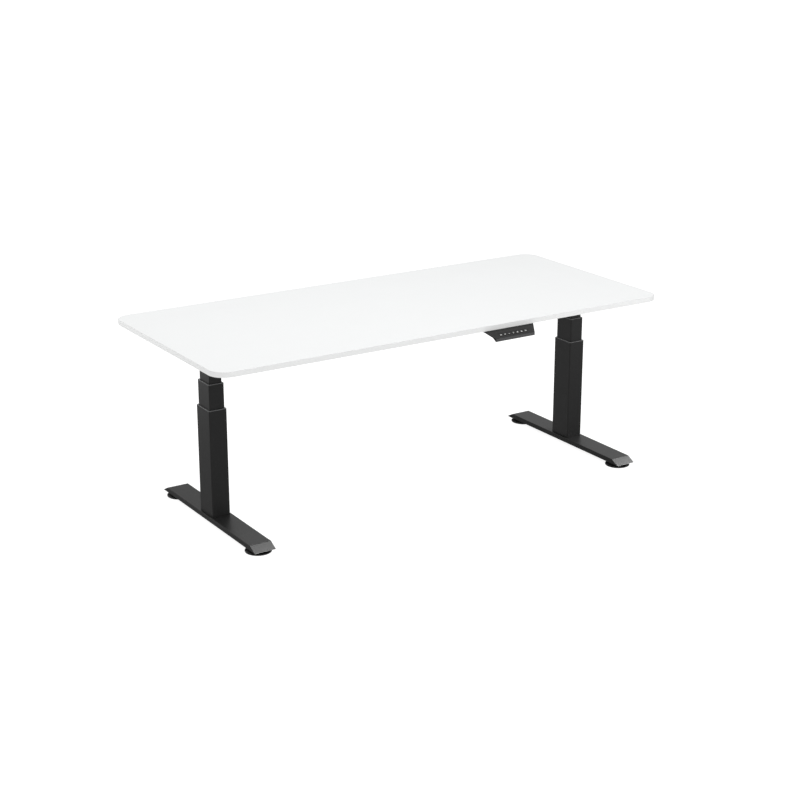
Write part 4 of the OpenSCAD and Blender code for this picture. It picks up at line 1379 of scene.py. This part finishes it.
def control_box_shell():
    """A tray with sockets in its front, posts for its board and vent grooves underneath."""
    low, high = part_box("control_box_shell")
    centre = middle((low, high))
    wall, socket_depth = 2.5 * MM, 13 * MM
    shell = slab(low, high, 4 * MM, eased_side(low.z, high.z, 1.2 * MM, 0.3 * MM), steps=5)
    reach = Vector((wall, wall, 0))
    inside = slab(low + reach, high - reach, 1.5 * MM, [(0, low.z + wall), (0, high.z + PAST)], steps=3)

    # Two motors, keypad and mains: place along the front, width and height
    sockets = ((-95 * MM, 20 * MM, 20 * MM), (-50 * MM, 20 * MM, 20 * MM),
               (-5 * MM, 14 * MM, 12 * MM), (60 * MM, 30 * MM, 22 * MM))
    cans = []
    openings = []
    layers = ((cans, 2 * MM, wall / 2, socket_depth + 2 * MM), (openings, 0, -PAST, socket_depth))
    for x, width, tall in sockets:
        for layer, room, start, end in layers:
            block_low = (centre.x + x - width / 2 - room, low.y + start, centre.z - tall / 2 - room)
            block_high = (centre.x + x + width / 2 + room, low.y + end, centre.z + tall / 2 + room)
            layer.append(block(block_low, block_high, 0.8 * MM))
    half = (high.x - low.x) / 2 - 12 * MM
    posts = [rod(3 * MM, low.z + wall / 2, low.z + 4.9 * MM, Vector((centre.x + x, centre.y + y)), 20)
             for x in (-half, half) for y in (-25 * MM, 38 * MM)]
    grooves = []
    count, pitch, half = 12, 6 * MM, 1 * MM
    for i in range(count):
        x = centre.x + 20 * MM + (i - (count - 1) / 2) * pitch
        groove_low = (x - half, low.y + 22 * MM, low.z - PAST)
        groove_high = (x + half, high.y - 18 * MM, low.z + 0.9 * MM)
        grooves.append(block(groove_low, groove_high, 0.4 * MM))
    shape = fused(cut(shell, inside), *cans, *posts)
    finished("control_box_shell", cut(shape, *openings, *grooves), BOX_PLASTIC)


def control_box_lid():
    low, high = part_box("control_box_lid")
    lid = slab(low, high, 6 * MM, eased_side(low.z, high.z, 0.5 * MM, 0.1 * MM), steps=6)
    holes = [rod(CASE_HOLE, low.z - PAST, high.z + PAST, place, 24)
             for place in centres("wood_screws", within=(low, high))]
    finished("control_box_lid", cut(lid, *holes), BOX_PLASTIC)


def circuit_boards():
    """The control box's board with a relay, a transformer and capacitors, and the keypad's board."""
    large, small = sorted(solids("circuit_boards"), key=lambda box: box[0].x)
    low, high = large
    thick, sunk = 1.6 * MM, 0.1 * MM
    board = slab(low, high, 2 * MM, eased_side(low.z, low.z + thick, 0.1 * MM, 0.1 * MM), steps=4)

    shell_low, shell_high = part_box("control_box_shell")
    width, inset, ease = 24 * MM, 4 * MM, 0.8 * MM
    front = middle((shell_low, shell_high)).y
    back = front + width
    seat = low.z + thick - sunk
    relay, transformer, bank = [shell_low.x / 2 + shell_high.x / 2 + x * MM for x in (-70, -20, 30)]
    blue = [block((relay, front, seat), (relay + width, back, high.z - 2 * MM), ease)]
    metal = [block((transformer + inset, front, seat), (transformer + width - inset, back, high.z), ease)]
    coil_low = Vector((transformer, front + inset, 0))
    coil_high = Vector((transformer + width, back - inset, 0))
    coil_side = eased_side(seat + 1 * MM, high.z - 3 * MM, 1 * MM, 1 * MM)
    copper = [slab(coil_low, coil_high, 3 * MM, coil_side)]
    radius = 5.6 * MM
    crimp = radius - 0.5 * MM
    can = [(0, seat), (crimp, seat), (radius, seat + 0.6 * MM), (crimp, seat + 1.6 * MM),
           (radius, seat + 2.6 * MM), (radius, high.z - 1 * MM), (radius - 1 * MM, high.z), (0, high.z)]
    for x in (bank + radius, bank + width - radius):
        for y in (front + radius, back - radius):
            blue.append(placed(turned(can, 32), at(x, y)))

    size_x, size_y, size_z = tilted_size(small)
    reach = Vector((size_x / 2, size_y / 2, 0))
    plate = on_keypad(small, slab(-reach, reach, 1.5 * MM, [(0, -size_z / 2), (0, size_z / 2)], steps=4))
    shapes = []
    for index, group in enumerate(([board, plate], blue, metal, copper)):
        shapes += [painted(shape, index) for shape in group]
    finished("circuit_boards", joined(shapes), BOARD_GREEN, RELAY_PLASTIC, STEEL, BRONZE)


# ---------- stage ----------

def backdrop():
    """A very wide pale floor that glows a little, so that it stays white right up to the object."""
    reach = Vector((60.0, 60.0, 0))
    corner, thickness, rim = 1.0, 0.02, 0.002
    floor = slab(-reach, reach, corner, eased_side(-thickness, 0.0, rim, rim, 1))
    plane = bpy.data.objects.new("floor", floor)
    scene.collection.objects.link(plane)
    f = Finish("floor_white", specular=0.1)
    tone = f.blend(f.noise(0.6, 3), (0.34, 0.34, 0.34), (0.36, 0.36, 0.36))
    f.colour(tone).roughness(f.noise(0.2), 0.85, 0.95)
    f.relief((f.noise(2 * MM), 0.02 * MM, 0.2))
    f.shader.inputs["Emission Color"].default_value = rgba(1.0)
    f.shader.inputs["Emission Strength"].default_value = 0.9
    floor.materials.append(f.material)
    plane.visible_glossy = False


def lamp(name, place, target, size, power, lit_nodes=()):
    """A soft rectangle of light that isn't seen itself. It may be flagged to light some pieces only."""
    light = bpy.data.lights.new(name, "AREA")
    light.shape = "RECTANGLE"
    light.size, light.size_y = size
    light.energy = power
    lamp_object = bpy.data.objects.new(name, light)
    lamp_object.location = place
    lamp_object.rotation_euler = (Vector(target) - Vector(place)).to_track_quat("-Z", "Y").to_euler()
    lamp_object.visible_camera = False
    scene.collection.objects.link(lamp_object)
    if lit_nodes:
        lit = bpy.data.collections.new(name + "_lit")
        for node in lit_nodes:
            lit.objects.link(bpy.data.objects[node + "_finished"])
        lamp_object.light_linking.receiver_collection = lit


def sky():
    """White to look at. As light it is dimmer from below, so that dark faces keep their depth."""
    world = bpy.data.worlds.new("studio")
    world.use_nodes = True
    nodes = world.node_tree.nodes
    links = world.node_tree.links
    direction = nodes.new("ShaderNodeTexCoord")
    parts = nodes.new("ShaderNodeSeparateXYZ")
    height = nodes.new("ShaderNodeMapRange")
    blend, from_below, from_above = 0.25, 0.3, 0.66
    ramp = {"From Min": -blend, "From Max": blend, "To Min": from_below, "To Max": from_above}
    for name, number in ramp.items():
        height.inputs[name].default_value = number
    path = nodes.new("ShaderNodeLightPath")
    brighter = nodes.new("ShaderNodeMath")
    brighter.operation = "MAXIMUM"
    links.new(direction.outputs["Generated"], parts.inputs["Vector"])
    links.new(parts.outputs["Z"], height.inputs["Value"])
    links.new(path.outputs["Is Camera Ray"], brighter.inputs[0])
    links.new(height.outputs["Result"], brighter.inputs[1])
    links.new(brighter.outputs["Value"], nodes["Background"].inputs["Strength"])
    nodes["Background"].inputs["Color"].default_value = rgba(1.0)
    scene.world = world


def lights():
    """Lamps for the whole desk, and one lamp for each foot. Each has place, target, size and power."""
    scene.view_settings.view_transform = "Standard"
    sky()
    lamp("overhead_softbox", (-0.8, -0.1, 3.6), (-0.3, 0.1, 0.0), (3.2, 2.4), 38)
    lamp("front_strip", (1.5, -0.9, 3.2), (0.0, -0.4, 0.0), (3.4, 0.6), 18)
    lamp("front_fill", (-1.5, -5.0, 2.6), (0.0, -0.3, 0.5), (2.5, 2.0), 34)
    lamp("left_softbox", (-1.7, 1.1, 0.5), (-0.75, 0.0, 0.4), (0.9, 0.9), 3)
    lamp("right_softbox", (1.6, -1.4, 0.5), (0.75, -0.1, 0.35), (0.8, 0.9), 2.5)
    lamp("left_foot_lamp", (0.32, -1.05, 2.18), (-0.755, -0.4, 0.04), (1.0, 0.5), 150, ("left_foot",))
    lamp("right_foot_lamp", (2.28, -0.98, 1.88), (0.755, -0.4, 0.04), (1.0, 0.5), 165, ("right_foot",))


def camera():
    """The photo's view, fitted to the desktop, the columns and the feet."""
    downward, to_the_right = 18.21, 32.58
    data = bpy.data.cameras.new("photo_camera")
    data.lens = 76.4
    data.sensor_width = 36
    eye = bpy.data.objects.new("photo_camera", data)
    eye.location = (-3.123, -4.913, 2.204)
    eye.rotation_euler = (math.radians(90 - downward), 0, math.radians(-to_the_right))
    scene.collection.objects.link(eye)
    scene.camera = eye


desktop()
wood_screws()
frame_bolts()
foot_bolts()
damping_pads()
side_brackets()
head_frames()
centre_rails()
tubes()
glides()
column_screws()
gearbox_housings()
gearbox_covers()
gearbox_bearings()
motor_cans()
worm_wheels()
motor_rotors()
feet()
pads_and_studs()
keypad_housing()
buttons()
control_box_shell()
control_box_lid()
circuit_boards()
backdrop()
lights()
camera()
